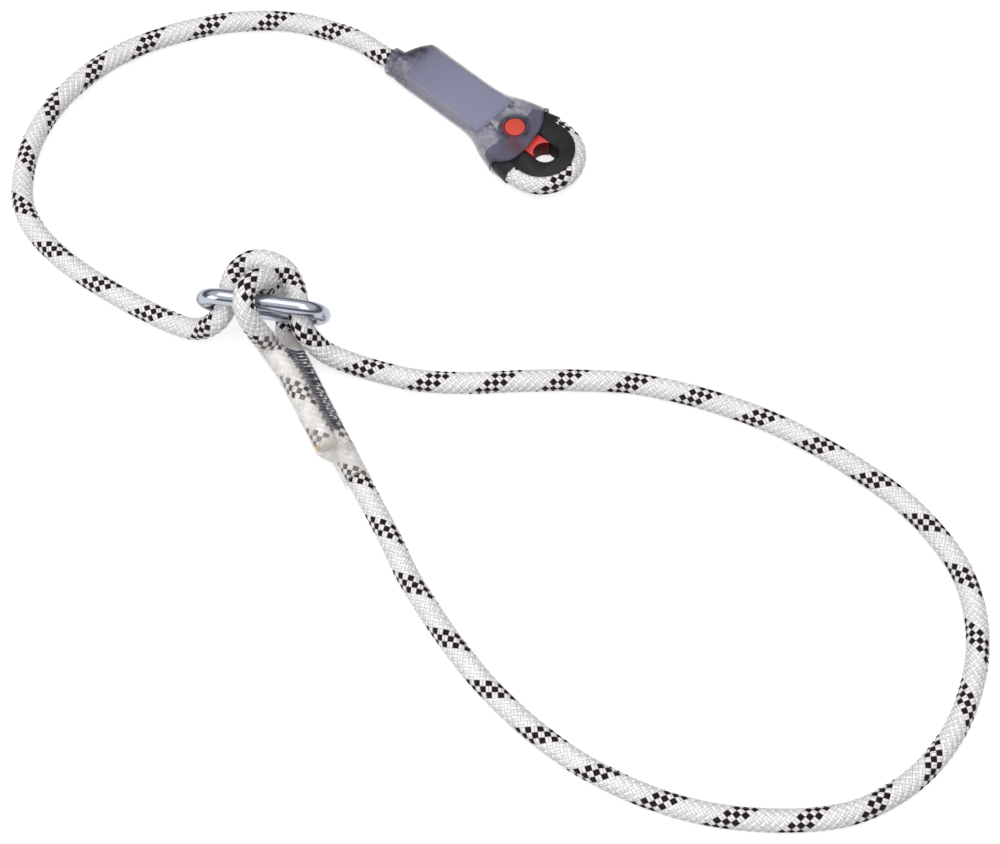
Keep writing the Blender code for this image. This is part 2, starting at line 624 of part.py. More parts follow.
def build_held_rope(parent, finish):
    """The rope's two sewn ends: one round the thimble, one round the ring."""
    eye = tube_curve("rope_thimble_eye", thimble_points(), ROPE_DIAMETER / 2)
    add_object("rope_thimble_eye", eye, finish, parent)
    start, along, to_tail, outward, length = sleeve_frame()
    lower = [start + along * (length - SLEEVE_JOIN), start + along * length * 0.5,
             start + along * (SLEEVE_OPEN + ROPE_DIAMETER), start + along * SLEEVE_OPEN]
    beside = start + to_tail * 2 * LEG_OFFSET
    upper = [beside + along * x * MM + Vector((0, 0, lift * MM)) for x, lift in TAIL_LEG_LIFT]
    upper.append(beside + along * SLEEVE_TAIL)
    route = lower + ring_points(EYE_IN_RING) + upper
    bend = smooth_route(route, BEND_SPACING, 2, len(route) - 2)
    points = lower[:2] + bend + upper[-1:]
    add_object("rope_ring_eye", tube_curve("rope_ring_eye", points, ROPE_DIAMETER / 2), finish)


def main():
    clear_scene()
    rope = material("rope_nylon", (0.80, 0.79, 0.77), 0.5)
    plastic = material("thimble_plastic", (0.028, 0.026, 0.030), 0.5)
    smoke = material("cover_smoke", (0.10, 0.10, 0.14), 0.3)
    red = material("keeper_red", (0.68, 0.035, 0.02), 0.4)
    steel = material("ring_steel", (0.72, 0.76, 0.82), 0.2, 1.0)
    shrink = material("sleeve_clear", (0.78, 0.76, 0.72), 0.35)
    thread = material("stitching_thread", (0.045, 0.05, 0.08), 0.7)
    paper = material("label_film", (0.27, 0.26, 0.33), 0.5)
    spring = material("spring_wire", (0.55, 0.55, 0.55), 0.3, 1.0)
    termination = frame_empty("termination_frame", termination_matrix())
    build_thimble(termination, plastic)
    build_cover(termination, smoke)
    build_keeper(termination, red)
    build_button(termination, red)
    build_spring(termination, spring)
    build_label(termination, paper)
    build_thimble_stitching(termination, thread)
    build_held_rope(termination, rope)
    build_free_rope(rope)
    build_ring(steel)
    build_sleeve(shrink)
    build_ring_stitching(thread)


main()
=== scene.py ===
"""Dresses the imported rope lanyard: braided rope, covered eye, steel ring, shrink sleeve and stage."""
import math

import bpy
import bmesh
import numpy as np
from bpy.props import FloatProperty, FloatVectorProperty, IntProperty, PointerProperty
from mathutils import Matrix, Vector


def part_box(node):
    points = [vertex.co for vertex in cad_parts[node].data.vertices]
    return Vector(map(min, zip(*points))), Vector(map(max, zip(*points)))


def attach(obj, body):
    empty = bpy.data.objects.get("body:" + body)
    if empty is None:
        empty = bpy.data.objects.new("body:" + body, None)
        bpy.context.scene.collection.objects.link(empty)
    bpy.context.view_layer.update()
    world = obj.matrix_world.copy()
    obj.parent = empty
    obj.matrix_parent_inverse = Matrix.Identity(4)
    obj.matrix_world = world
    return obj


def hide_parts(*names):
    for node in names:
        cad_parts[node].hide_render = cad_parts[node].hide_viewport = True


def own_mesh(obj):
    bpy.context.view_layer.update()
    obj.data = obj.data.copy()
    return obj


bl_info = {
    "name": "Adjustable rope lanyard",
    "version": (1, 0, 0),
    "blender": (4, 5, 0),
    "location": "3D View > Sidebar > Lanyard",
    "description": "Adds the rope, fittings, sleeve and stage round the packed lanyard",
    "category": "Object",
}

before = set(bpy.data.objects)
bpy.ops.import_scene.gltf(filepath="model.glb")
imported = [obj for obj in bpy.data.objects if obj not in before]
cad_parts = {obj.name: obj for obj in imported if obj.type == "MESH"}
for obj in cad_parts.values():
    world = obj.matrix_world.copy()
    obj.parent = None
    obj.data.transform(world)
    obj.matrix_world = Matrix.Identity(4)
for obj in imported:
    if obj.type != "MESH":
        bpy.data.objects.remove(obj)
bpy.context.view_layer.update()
MM = 0.001

# The free rope from the cover's mouth, through the ring and back to the sleeve, in millimetres
FREE_ROUTE = [
    (-36.5, 24.2, 8), (-45.1, 30.6, 8), (-54, 38, 7.2), (-87, 52, 5.5), (-120, 53, 5.5), (-153, 45, 5.5),
    (-183, 30, 5.5), (-208, 5, 5.5), (-223, -28, 5.5), (-223, -68, 5.6), (-202, -98, 5.8),
    (-147, -135.5, 6.2), (-130, -143.1, 9.2), (-119.4, -145.2, 19.3), (-114, -140.4, 25.7),
    (-110.9, -124.9, 29), (-103.3, -117.2, 30.2), (-94.6, -117.3, 30.7), (-86.1, -121.7, 29.8),
    (-81.2, -129.9, 27.7), (-78.1, -145.6, 26.3), (-76.6, -150.7, 22.6), (-67.9, -156.7, 12.3),
    (-58.6, -159.5, 7.5), (-18, -171, 5.8), (54, -170.5, 5.6), (92, -173.5, 5.5), (151, -194, 5.5),
    (201, -228, 5.5), (222, -250, 5.5), (237, -277.5, 5.5), (240.5, -309, 5.5), (233, -340.5, 5.5),
    (217, -367.5, 5.5), (194, -387, 5.5), (167, -397, 5.5), (111, -395, 5.5), (59, -373.5, 5.5),
    (15, -335, 5.5), (-20, -283.5, 5.5), (-34, -254, 5.9), (-47.2, -227.8, 6.6), (-48.4, -225.4, 6.6)]
# The sewn end round the thimble: tail, eye and the leg that goes out through the mouth
THIMBLE_ROUTE = [
    (-17.8, 23.6, 8), (-8.9, 15.6, 8), (0.1, 7.5, 8), (6, 2.2, 8), (11.3, -2.4, 8), (17, -6.5, 8),
    (23.3, -10, 8), (30.3, -12.7, 8), (37.5, -15.1, 8), (43.7, -17.2, 8), (49.1, -20.2, 8),
    (52.9, -23.4, 8), (57.1, -29.1, 8), (58.8, -35.9, 8), (57.8, -42.8, 8), (54.2, -48.8, 8),
    (48.6, -53, 8), (41.8, -54.8, 8), (34.9, -53.8, 8), (28.8, -50.2, 8), (25.2, -46.7, 8),
    (21.7, -41.7, 8), (18.9, -35.8, 8), (15.8, -28.8, 8), (12.4, -22.1, 8), (8.3, -16.2, 8), (3.6, -11, 8),
    (-1.6, -6.2, 8), (-7.5, -0.9, 8), (-16.4, 7.2, 8), (-30.7, 19.7, 8), (-36.2, 24, 8)]
# The sewn end round the ring, from the join in the sleeve to the cut tail
RING_ROUTE = [
    (-48.5, -225.1, 6.6), (-65.9, -188.9, 6.6), (-77.7, -164.4, 6.6), (-82.4, -154.5, 6.6),
    (-86.1, -143.7, 5.6), (-86.3, -137, 5.7), (-87.2, -129.7, 10.8), (-91.5, -127.6, 19.5),
    (-95.6, -129.8, 26.4), (-95.2, -132.1, 33.1), (-93.2, -133.7, 39.8), (-97.2, -138.1, 46.4),
    (-102.5, -145.7, 47.8), (-103.0, -152.4, 43.4), (-101.1, -155.4, 37.4), (-98.8, -156.4, 32.2),
    (-96.2, -157.3, 26.6), (-93.7, -157.9, 20.6), (-91.7, -159.4, 17.3), (-89.4, -161.9, 15.2),
    (-87.0, -165.6, 14.7), (-83, -171.4, 14.7), (-63.5, -212.0, 14.7)]
# How far each sheath is turned on its core: millimetres along, degrees
FREE_TURN = [(0, -55), (38, -36), (73, -15), (107, 5), (142, 31), (209, 65), (242, 83), (273, 94),
             (369, 97), (406, 150), (437, 190), (470, 205), (502, 168), (537, 199), (602, 191), (668, 209),
             (733, 214), (797, 199), (1028, 197), (1093, 200), (1155, 169), (1217, 152), (1282, 155),
             (1315, 150)]
THIMBLE_TURN = [(0, 110), (85, 115), (121, 160), (160, 150), (250, 119)]
RING_TURN = [(0, -83), (30, -120), (90, -107), (128, -50), (157, -38), (184, -62), (205, -42), (227, -8),
             (257, -37)]

# The termination's own frame: X to the eye, Z up, its origin at the thimble's centre
EYE_MATRIX = (Matrix.Translation((40.873 * MM, -36.802 * MM, 0))
              @ Matrix.Rotation(math.radians(-42), 4, "Z"))
TO_EYE = EYE_MATRIX.inverted()
# Height of the legs' middle, and how far each leg lies from the middle between them
MIDDLE = 8.0 * MM
LEG_OFFSET = 5.65 * MM
# The button: its place along X, how far it goes down and the gap round it
BUTTON_PLACE = -18.0 * MM
BUTTON_GAP = 0.3 * MM
# The cover stands higher round the button: its rise, its radius and the width of its soft foot
BOSS_RISE = 0.5 * MM
BOSS_RADIUS = 10.2 * MM
BOSS_FOOT = 2.2 * MM
# Corner radius of the cover's lower edges, and how near the floor its bore may come
LOWER_CREASE = 4.6 * MM
BORE_FLOOR = 1.5 * MM
# Radius of the dark bead along the cover's front edge, which paints its shadow line
LIP_RADIUS = 0.36 * MM
# Cover, in millimetres: place, shift across, half width, half height, corner radius
COVER_STATIONS = [
    (-101, -6.7, 7.0, 7.0, 7.0), (-100.6, -6.66, 7.4, 7.4, 7.4), (-100, -6.6, 7.5, 7.5, 7.5),
    (-97, -6.33, 7.5, 7.5, 7.5), (-96.4, -6.25, 7.4, 7.35, 7.3), (-95.7, -5.95, 7.05, 6.8, 6.7),
    (-94.9, -5.4, 7.75, 6.95, 6.3), (-92.5, -3.2, 9.6, 7.2, 5.2), (-89.5, -1.2, 11.6, 7.65, 4.2),
    (-86.5, 0.0, 12.8, 7.9, 3.4), (-82, 0.1, 12.95, 8, 3.0), (-74, 0, 12.8, 8, 2.9), (-46, 0, 12.8, 8, 2.9),
    (-38, 0, 13.6, 8, 3.0), (-31, 0, 16.3, 8, 3.5), (-27, 0, 18.3, 8, 4.2), (-23, 0, 19.9, 8, 5.0),
    (-19, 0, 21.5, 8, 6.0), (-15, 0, 23.1, 8, 7.0), (-11, 0, 24.6, 8, 7.2), (-6, 0, 26.0, 8, 7.2),
    (-1, 0, 26.2, 8, 7.2)]
COVER_FRONT_EDGE = [(-15.5, 30), (-15, 22), (-13.5, 17), (-9.8, 12), (-7.2, 6), (-6.2, 0), (-5.0, -6),
                    (-5.2, -11), (-5.8, -16), (-9, -20), (-14, -22.4), (-17.5, -30)]
# Where the cover's sections stand, in millimetres: from, to, how many
COVER_ROWS = [(-101, -86, 46), (-85, -38, 32), (-37, -1, 46)]
# Label, in millimetres: place, how far each leg lies from the middle, drop down the near side
LABEL_STATIONS = [(-85, 5.65, 11.4), (-52, 5.68, 11.4), (-46, 5.75, 11.0), (-42, 6.05, 9.0),
                  (-38, 6.5, 6.0), (-34.5, 7.3, 3.0), (-31, 8.1, 1.5)]
LABEL_FILM = 0.18

# Ring: X along it, Z across it
RING_MATRIX = (Matrix.Translation((-95.7 * MM, -141.4 * MM, 26.6 * MM))
               @ Matrix.Rotation(math.radians(-8.8), 4, "Z") @ Matrix.Rotation(math.radians(19.5), 4, "X"))

# Sleeve: its line, the way from the lower rope to the tail beside it, and the way off the pair
SLEEVE_START = Vector((-84.6, -150.0, 6.6)) * MM
SLEEVE_ALONG = Vector((0.43328, -0.90126, 0))
TO_TAIL = Vector((-0.62607, -0.30098, 0.71934))
OFF_PAIR = Vector((0.64832, 0.31168, 0.69466))
# Bore radius over one rope
SLEEVE_BORE = 5.62 * MM
# In millimetres: place along the sleeve, distance between the ropes, flare
SLEEVE_STATIONS = [(-4, 11.3, 0.3), (-3, 11.3, 0.1), (6, 11.3, 0.1), (16, 11.3, 0), (30, 11.3, 0),
                   (66.6, 11.3, 0), (68.6, 9.7, 0), (70.8, 3.9, 0), (73.1, 2.6, 0), (85, 2.6, 0),
                   (85.8, 2.6, 0.25), (86.3, 2.6, 0.3)]
# Where the sleeve's sections stand, in millimetres: from, to, how many
SLEEVE_ROWS = [(-4, 20, 29), (21, 65, 38), (66, 76, 25), (77.5, 84.5, 6), (85, 86.3, 6)]
# Up to here from the mouth the sleeve follows the two legs, which part for the ring
MOUTH_DEPTH = 20.0 * MM
# On the ring's route: how far the lower leg has come at the mouth, and what is left of the upper leg at
# the mouth's depth. The upper leg goes 1.2 mm along the route in each millimetre of the sleeve
LOWER_LEG_AT_MOUTH = 83.3 * MM
UPPER_LEG_LEFT = 45.0 * MM
UPPER_LEG_CLIMB = 1.2

# The camera's place and its tilt from straight down, in degrees, and what the lamps point at
CAMERA_PLACE = (0.0198, -0.7987, 1.05275)
CAMERA_TILT = 30.0
LAMP_AIM = (0.01, -0.17, 0)
# How far the floor goes each way, in metres, and how strongly it glows for the camera
FLOOR_REACH = 6.0
PAPER_GLOW = 0.7


def linear(code):
    """sRGB hex to the linear colour that a shader takes."""
    channels = [int(code[place:place + 2], 16) / 255 for place in (1, 3, 5)]
    return tuple(c / 12.92 if c <= 0.04045 else ((c + 0.055) / 1.055) ** 2.4 for c in channels)


def colour_setting(name, description, code):
    return FloatVectorProperty(name=name, description=description, subtype="COLOR", size=3, min=0, max=1,
                               default=linear(code))


def size_setting(name, description, millimetres):
    return FloatProperty(name=name, description=description, subtype="DISTANCE", unit="LENGTH",
                         min=0.01 * MM, default=millimetres * MM, precision=5)


class LanyardRopeSettings(bpy.types.PropertyGroup):
    """The rope and its braided sheath."""
    diameter: size_setting("Diameter", "Outside diameter of the rope", 11.0)
    pitch: size_setting("Pitch", "Length in which a yarn goes once round the rope", 32.4)
    crown: size_setting("Crown", "Height of a yarn's middle over its edges", 0.62)
    carriers: IntProperty(name="Carriers", description="Yarns that run each way round the sheath",
                          default=8, min=4, max=24)
    marked: IntProperty(name="Marked yarns", description="Neighbouring yarns that are black", default=3,
                        min=0, max=8)
    white: colour_setting("White yarn", "Bright polyamide yarn", "#f3f1f0")
    # The white yarn painted a shade darker and pinker among the black yarns: painted shade
    shaded_between: colour_setting("Yarn between", "White yarn where it crosses the black ones", "#f0ebeb")
    black: colour_setting("Black yarn", "Dope-dyed black polyamide yarn", "#151113")
    sealed: colour_setting("Sealed end", "Polyamide melted by the hot knife", "#e4dfd6")
    scorched: colour_setting("Scorched edge", "Where the hot knife lay longest", "#d9a65c")


class LanyardEyeSettings(bpy.types.PropertyGroup):
    """The thimble, its keeper and button, and the cover and label behind them."""
    wall: size_setting("Cover wall", "Thickness of the soft cover", 0.85)
    button_radius: size_setting("Button radius", "Radius of the push button", 5.4)
    edge: size_setting("Moulded edge", "Rounding along the moulded edges", 0.35)
    smoke: colour_setting("Cover tint", "Smoke tint of the soft cover", "#838098")
    rim: colour_setting("Cover edge", "The tint seen along the cover's wall", "#3c3945")
    glow: colour_setting("Cover over red", "The tint where the red pieces show through", "#904249")
    plastic: colour_setting("Thimble", "Black glass-filled polyamide", "#17161a")
    keeper: colour_setting("Keeper", "Red acetal of the keeper", "#d3332e")
    # Painted shade for the walls of the thimble's window
    window_shade: colour_setting("Thimble's window", "Black polyamide dark with grease", "#0c0b0e")
    # Painted shade for the keeper's seat in the thimble's slot
    seat_shade: colour_setting("Keeper's seat", "Red acetal stained with grease", "#5c0f14")
    button: colour_setting("Button", "Red acetal of the button", "#cc402d")
    label: colour_setting("Label", "Face of the blank label film", "#b4bbd5")
    # The label's near-side strip painted lighter: painted light
    strip: colour_setting("Label strip", "The label's strip down the near side", "#eeecf4")


class LanyardRingSettings(bpy.types.PropertyGroup):
    """The long ring that the rope runs through."""
    rod: size_setting("Rod", "Diameter of the bent rod", 8.0)
    length: size_setting("Length", "Length over the ring", 67.0)
    inside: size_setting("Inside width", "Width of the window", 12.7)
    steel: colour_setting("Plating", "Bright zinc plating with a blue passivate", "#b9bfcc")


class LanyardSleeveSettings(bpy.types.PropertyGroup):
    """The shrink sleeve and the thread in it."""
    wall: size_setting("Sleeve wall", "Thickness of the shrunk tube", 0.4)
    thread: size_setting("Thread", "Thickness of a stitch of the sewing thread", 0.64)
    stitch: size_setting("Stitch", "Distance from one bar of the seam to the next", 2.05)
    film: colour_setting("Sleeve", "Milky clear polyolefin", "#dcd8d2")
    rim: colour_setting("Sleeve edge", "The polyolefin seen along its wall", "#cfcac1")
    slate: colour_setting("Thread colour", "Dark slate polyester thread", "#33344e")


class LanyardStageSettings(bpy.types.PropertyGroup):
    """Floor, light and camera."""
    floor: colour_setting("Floor", "Plain paper floor", "#b4b4b4")
    focal: FloatProperty(name="Focal length", description="Focal length of the camera, in millimetres",
                         default=89.75, min=1)


def metres(route):
    return [Vector(point) * MM for point in route]


def places_in(rows):
    """Places in millimetres from rows of from, to and how many."""
    return np.concatenate([np.linspace(*row) for row in rows])


def smooth_line(route, spacing=1.0 * MM):
    """Points a spacing apart on the centripetal curve through a route."""
    points = np.array(route, float)
    points = np.vstack([2 * points[0] - points[1], points, 2 * points[-1] - points[-2]])
    fine = []
    for p0, p1, p2, p3 in zip(points, points[1:], points[2:], points[3:]):
        t1 = np.linalg.norm(p1 - p0) ** 0.5
        t2 = t1 + np.linalg.norm(p2 - p1) ** 0.5
        t3 = t2 + np.linalg.norm(p3 - p2) ** 0.5
        for t in np.linspace(t1, t2, 48, endpoint=False):
            a1 = p0 + (p1 - p0) * t / t1
            a2 = p1 + (p2 - p1) * (t - t1) / (t2 - t1)
            a3 = p2 + (p3 - p2) * (t - t2) / (t3 - t2)
            b1 = a1 + (a2 - a1) * t / t2
            b2 = a2 + (a3 - a2) * (t - t1) / (t3 - t1)
            fine.append(b1 + (b2 - b1) * (t - t1) / (t2 - t1))
    fine.append(points[-2])
    fine = np.array(fine)
    travelled = distances(fine)
    count = max(2, round(travelled[-1] / spacing))
    wanted = np.linspace(0, travelled[-1], count + 1)
    return np.column_stack([np.interp(wanted, travelled, fine[:, axis]) for axis in range(3)])


def distances(line):
    """How far along a line each of its points lies."""
    return np.concatenate([[0], np.cumsum(np.linalg.norm(np.diff(line, axis=0), axis=1))])


def carried_frame(line, side):
    """Directions along a line and beside it, which turn no more than the line makes them."""
    along = np.gradient(line, axis=0)
    along /= np.linalg.norm(along, axis=1)[:, None]
    beside = [side - along[0] * (side @ along[0])]
    for place in range(len(line) - 1):
        step = line[place + 1] - line[place]
        turned = beside[-1] - 2 * step * (step @ beside[-1]) / (step @ step)
        heading = along[place] - 2 * step * (step @ along[place]) / (step @ step)
        change = along[place + 1] - heading
        if change @ change > 1e-12:
            turned = turned - 2 * change * (change @ turned) / (change @ change)
        beside.append(turned)
    beside = np.array(beside)
    beside -= along * np.sum(along * beside, axis=1)[:, None]
    beside /= np.linalg.norm(beside, axis=1)[:, None]
    return along, beside, np.cross(along, beside)


def new_piece(name, verts, faces, *finishes):
    """A mesh object from points and faces, in the frame's metres."""
    mesh = bpy.data.meshes.new(name)
    mesh.from_pydata([tuple(v) for v in verts], [], faces)
    for finish in finishes:
        mesh.materials.append(finish)
    mesh.polygons.foreach_set("use_smooth", [True] * len(mesh.polygons))
    mesh.update()
    piece = bpy.data.objects.new(name, mesh)
    bpy.context.scene.collection.objects.link(piece)
    return piece


def loft(name, sections, *finishes, closed=False, cap=True):
    """Skin over sections of equal counts of points."""
    count = len(sections[0])
    verts = [point for section in sections for point in section]
    rows = len(sections)
    faces = []
    for row in range(rows if closed else rows - 1):
        first = row * count
        second = (row + 1) % rows * count
        for here in range(count):
            there = (here + 1) % count
            faces.append((first + here, first + there, second + there, second + here))
    if cap and not closed:
        faces.append(tuple(range(count - 1, -1, -1)))
        faces.append(tuple(range((rows - 1) * count, rows * count)))
    piece = new_piece(name, verts, faces, *finishes)
    shape = bmesh.new()
    shape.from_mesh(piece.data)
    bmesh.ops.recalc_face_normals(shape, faces=shape.faces)
    shape.to_mesh(piece.data)
    shape.free()
    return piece


def circle(radius, sides):
    return [(radius * math.cos(2 * math.pi * k / sides), radius * math.sin(2 * math.pi * k / sides))
            for k in range(sides)]


def tube(name, line, side, radius, sides, finish, closed=False):
    """A round rod, wire or thread along a line."""
    _, beside, across = carried_frame(line, np.array(side, float))
    if closed:
        line, beside, across = line[:-1], beside[:-1], across[:-1]
    sections = []
    for centre, u, v in zip(line, beside, across):
        sections.append([centre + u * x + v * y for x, y in circle(radius, sides)])
    return loft(name, sections, finish, closed=closed)


def weld(mesh):
    """Joins points that lie together and drops slivers."""
    shape = bmesh.new()
    shape.from_mesh(mesh)
    bmesh.ops.remove_doubles(shape, verts=shape.verts, dist=0.002 * MM)
    bmesh.ops.dissolve_degenerate(shape, edges=shape.edges, dist=0.002 * MM)
    shape.to_mesh(mesh)
    shape.free()
    mesh.validate()


def lathe(name, profile, sides, finish):
    """A turned piece from radii and heights, its axis up."""
    sections = [[(x, y, height) for x, y in circle(max(radius, 1e-6), sides)] for radius, height in profile]
    piece = loft(name, sections, finish, cap=False)
    weld(piece.data)
    return piece


def apply_changes(piece):
    """Makes a piece's modifiers part of its mesh, without the slivers that they leave."""
    graph = bpy.context.evaluated_depsgraph_get()
    finished = bpy.data.meshes.new_from_object(piece.evaluated_get(graph))
    piece.modifiers.clear()
    piece.data = finished
    weld(finished)
    return piece


def cut(piece, tool):
    """Cuts a piece with a tool, which is then thrown away."""
    change = piece.modifiers.new("cut", "BOOLEAN")
    change.object = tool
    change.operation = "DIFFERENCE"
    change.solver = "EXACT"
    apply_changes(piece)
    bpy.data.objects.remove(tool)
    return piece


def round_edges(piece, width, angle=32):
    """Rounds the sharp edges of a moulded piece and smooths what is left."""
    bevel = piece.modifiers.new("edges", "BEVEL")
    bevel.width = width
    bevel.segments = 3
    bevel.limit_method = "ANGLE"
    bevel.angle_limit = math.radians(angle)
    bevel.harden_normals = True
    apply_changes(piece)
    piece.data.polygons.foreach_set("use_smooth", [True] * len(piece.data.polygons))
    return piece


def moulded_copy(node, name, finish, width):
    """A CAD node's shape with its flats whole again and its edges rounded."""
    piece = new_piece(name, [], [], finish)
    shape = bmesh.new()
    shape.from_mesh(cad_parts[node].data)
    bmesh.ops.remove_doubles(shape, verts=shape.verts, dist=0.005 * MM)
    bmesh.ops.dissolve_limit(shape, angle_limit=math.radians(1.5), verts=shape.verts, edges=shape.edges)
    shape.to_mesh(piece.data)
    shape.free()
    return round_edges(piece, width)


def feed(tree, node, inputs):
    """Gives each input of a node its value or another node's output."""
    for socket, value in inputs.items():
        if isinstance(value, bpy.types.NodeSocket):
            tree.links.new(value, node.inputs[socket])
        else:
            node.inputs[socket].default_value = value


def add_node(tree, kind, inputs=None, **settings):
    """One node with its settings and what comes into it."""
    made = tree.nodes.new("ShaderNode" + kind)
    for name, value in settings.items():
        setattr(made, name, value)
    feed(tree, made, inputs or {})
    return made


def maths(tree, operation, *values):
    """What an operation makes of numbers and other nodes' outputs."""
    return add_node(tree, "Math", dict(enumerate(values)), operation=operation).outputs[0]


def remap(tree, value, low=0.0, high=1.0, to_low=0.0, to_high=1.0, soft=False):
    """A value whose range from low to high is stretched over another, with soft ends if asked for."""
    inputs = {"Value": value, "From Min": low, "From Max": high, "To Min": to_low, "To Max": to_high}
    kind = "SMOOTHSTEP" if soft else "LINEAR"
    return add_node(tree, "MapRange", inputs, interpolation_type=kind).outputs["Result"]


def noise(tree, place, scale, detail, roughness=0.5, distortion=0.0):
    inputs = {"Vector": place, "Scale": scale, "Detail": detail, "Roughness": roughness,
              "Distortion": distortion}
    return add_node(tree, "TexNoise", inputs).outputs["Fac"]


def number_between(tree, share, first, second):
    return add_node(tree, "Mix", {0: share, 2: first, 3: second}).outputs[0]


def colour_between(tree, share, first, second):
    return add_node(tree, "Mix", {0: share, 6: first, 7: second}, data_type="RGBA").outputs[2]


def relief(tree, height, strength, depth):
    """The surface's direction where a height from 0 to 1 stands up by a depth."""
    inputs = {"Height": height, "Strength": strength, "Distance": depth}
    return add_node(tree, "Bump", inputs).outputs["Normal"]


def marked_share(tree, layer_name):
    """The share that mark_layer wrote."""
    return add_node(tree, "Attribute", attribute_name=layer_name).outputs["Fac"]


def new_finish(name):
    """An empty material with a shader, and its tree."""
    finish = bpy.data.materials.new(name)
    finish.use_nodes = True
    tree = finish.node_tree
    return finish, tree, tree.nodes["Principled BSDF"]


def rgba(colour, share=1.0):
    return (colour[0] * share, colour[1] * share, colour[2] * share, 1.0)


def braided_polyamide(name, colour, groove_shade_and_mottle, roughness, sheen, gloss):
    """Twisted polyamide yarn in a plain braid. The eye sees two parallel ends in each stitch, which make a
    herringbone, fine filaments along them, a silky light on their crowns and painted shade between them."""
    finish, tree, shader = new_finish(name)
    lay = add_node(tree, "UVMap", uv_map="yarn").outputs["UV"]
    parts = add_node(tree, "SeparateXYZ", {"Vector": lay})
    # Two ends side by side in each yarn, as two half waves of a sine
    ends = maths(tree, "MULTIPLY", parts.outputs["X"], 2.0 * math.pi)
    ridge = maths(tree, "ABSOLUTE", maths(tree, "SINE", ends))
    round_end = remap(tree, ridge, high=0.8, soft=True)
    # Both ends of each stitch dive under its neighbours
    along = maths(tree, "SUBTRACT", maths(tree, "FRACT", parts.outputs["Y"]), 0.5)
    dive = remap(tree, maths(tree, "ABSOLUTE", along), low=0.5, high=0.36, to_low=0.45, soft=True)
    crown = maths(tree, "MULTIPLY", round_end, dive)
    # Filaments of 0.04 mm are drawn 0.15 mm wide, the finest that shows
    stretch = add_node(tree, "Mapping", {"Vector": lay, "Scale": (22.0, 3.0, 1.0)})
    fibres = noise(tree, stretch.outputs["Vector"], 1.0, 2.0, 0.6)
    place = add_node(tree, "TexCoord").outputs["Object"]
    patches = noise(tree, place, 160.0, 3.0, 0.6)
    # Where a sleeve or cover presses on the sheath it lies flat
    flat = number_between(tree, marked_share(tree, "pressed"), crown, 0.85)
    depth = maths(tree, "MULTIPLY_ADD", fibres, 0.4, flat)
    level = maths(tree, "MULTIPLY_ADD", patches, 0.9, depth)
    # The colour darkens towards the ends' edges and stitches' ends: painted shade, over random mottles
    tone = colour_between(tree, remap(tree, level, 0.65, 1.65), rgba(groove_shade_and_mottle), rgba(colour))
    feed(tree, shader, {"Base Color": tone, "Normal": relief(tree, depth, 0.6, 0.3 * MM),
                        "Roughness": roughness, "Sheen Weight": sheen, "Sheen Roughness": 0.35,
                        "Specular IOR Level": gloss})
    return finish


def moulded_plastic(name, colour, roughness, grain, depth, blotch=0.15, gloss=0.5):
    """Opaque polymer, moulded or cast as film, with a fine skin: even colour, a soft wide highlight and
    a grain that breaks it up."""
    finish, tree, shader = new_finish(name)
    place = add_node(tree, "TexCoord").outputs["Object"]
    skin = noise(tree, place, 1.0 / grain, 3.0, 0.6)
    wide = noise(tree, place, 90.0, 3.0, 0.6)
    tone = colour_between(tree, wide, rgba(colour, 1 - blotch), rgba(colour, 1 + blotch))
    rough = remap(tree, wide, to_low=roughness - 0.07, to_high=roughness + 0.09)
    feed(tree, shader, {"Base Color": tone, "Roughness": rough, "Normal": relief(tree, skin, 0.5, depth),
                        "Specular IOR Level": gloss})
    return finish


def melted_polyamide(name, colour, scorch):
    """Polyamide yarn cut with a hot knife: it sets as a hard glossy lump, milky, and amber along the side
    where the knife came through."""
    finish, tree, shader = new_finish(name)
    place = add_node(tree, "TexCoord").outputs["Object"]
    side = add_node(tree, "SeparateXYZ", {"Vector": place})
    lumps = noise(tree, place, 600.0, 3.0, 0.6)
    edge = maths(tree, "MULTIPLY_ADD", lumps, 3.0 * MM, side.outputs["X"])
    share = remap(tree, edge, -1.0 * MM, -3.0 * MM, soft=True)
    tone = colour_between(tree, share, rgba(colour), rgba(scorch))
    feed(tree, shader, {"Base Color": tone, "Normal": relief(tree, lumps, 0.5, 0.2 * MM), "Roughness": 0.35})
    return finish


def clear_film(name, colour, rim, low, high, edge, calm, blotch, ior, gloss, under=None):
    """Soft see-through polymer. It is clear where it clings to what is under it and cloudy where air lies
    between, so the eye sees blotches a few millimetres wide under one smooth gloss. Seen along its wall it
    is denser, as tinted glass is. The piece's layers say where it lies in blotches, loose, where it is
    thick, and where a bright piece under it tints it."""
    finish, tree, shader = new_finish(name)
    place = add_node(tree, "TexCoord").outputs["Object"]
    cloud = noise(tree, place, 1.0 / blotch, 2.5, 0.55, 0.5)
    patch = remap(tree, cloud, 0.36, 0.64, low, high, soft=True)
    body = number_between(tree, marked_share(tree, "loose"), calm, patch)
    uneven = remap(tree, cloud, 0.35, 0.6, to_low=0.55)
    folded = maths(tree, "MULTIPLY", marked_share(tree, "thick"), uneven)
    slant = add_node(tree, "LayerWeight", {"Blend": 0.5}).outputs["Facing"]
    slant = maths(tree, "MAXIMUM", maths(tree, "POWER", slant, 5.5), folded)
    share = number_between(tree, slant, body, edge)
    tone = colour_between(tree, slant, rgba(colour), rgba(rim))
    if under:
        tone = colour_between(tree, marked_share(tree, "lit"), tone, rgba(under))
    swell = noise(tree, place, 190.0, 2.0)
    feed(tree, shader, {"Base Color": tone, "Alpha": share, "Normal": relief(tree, swell, 0.35, 0.5 * MM),
                        "Roughness": 0.22, "IOR": ior, "Specular IOR Level": gloss})
    return finish


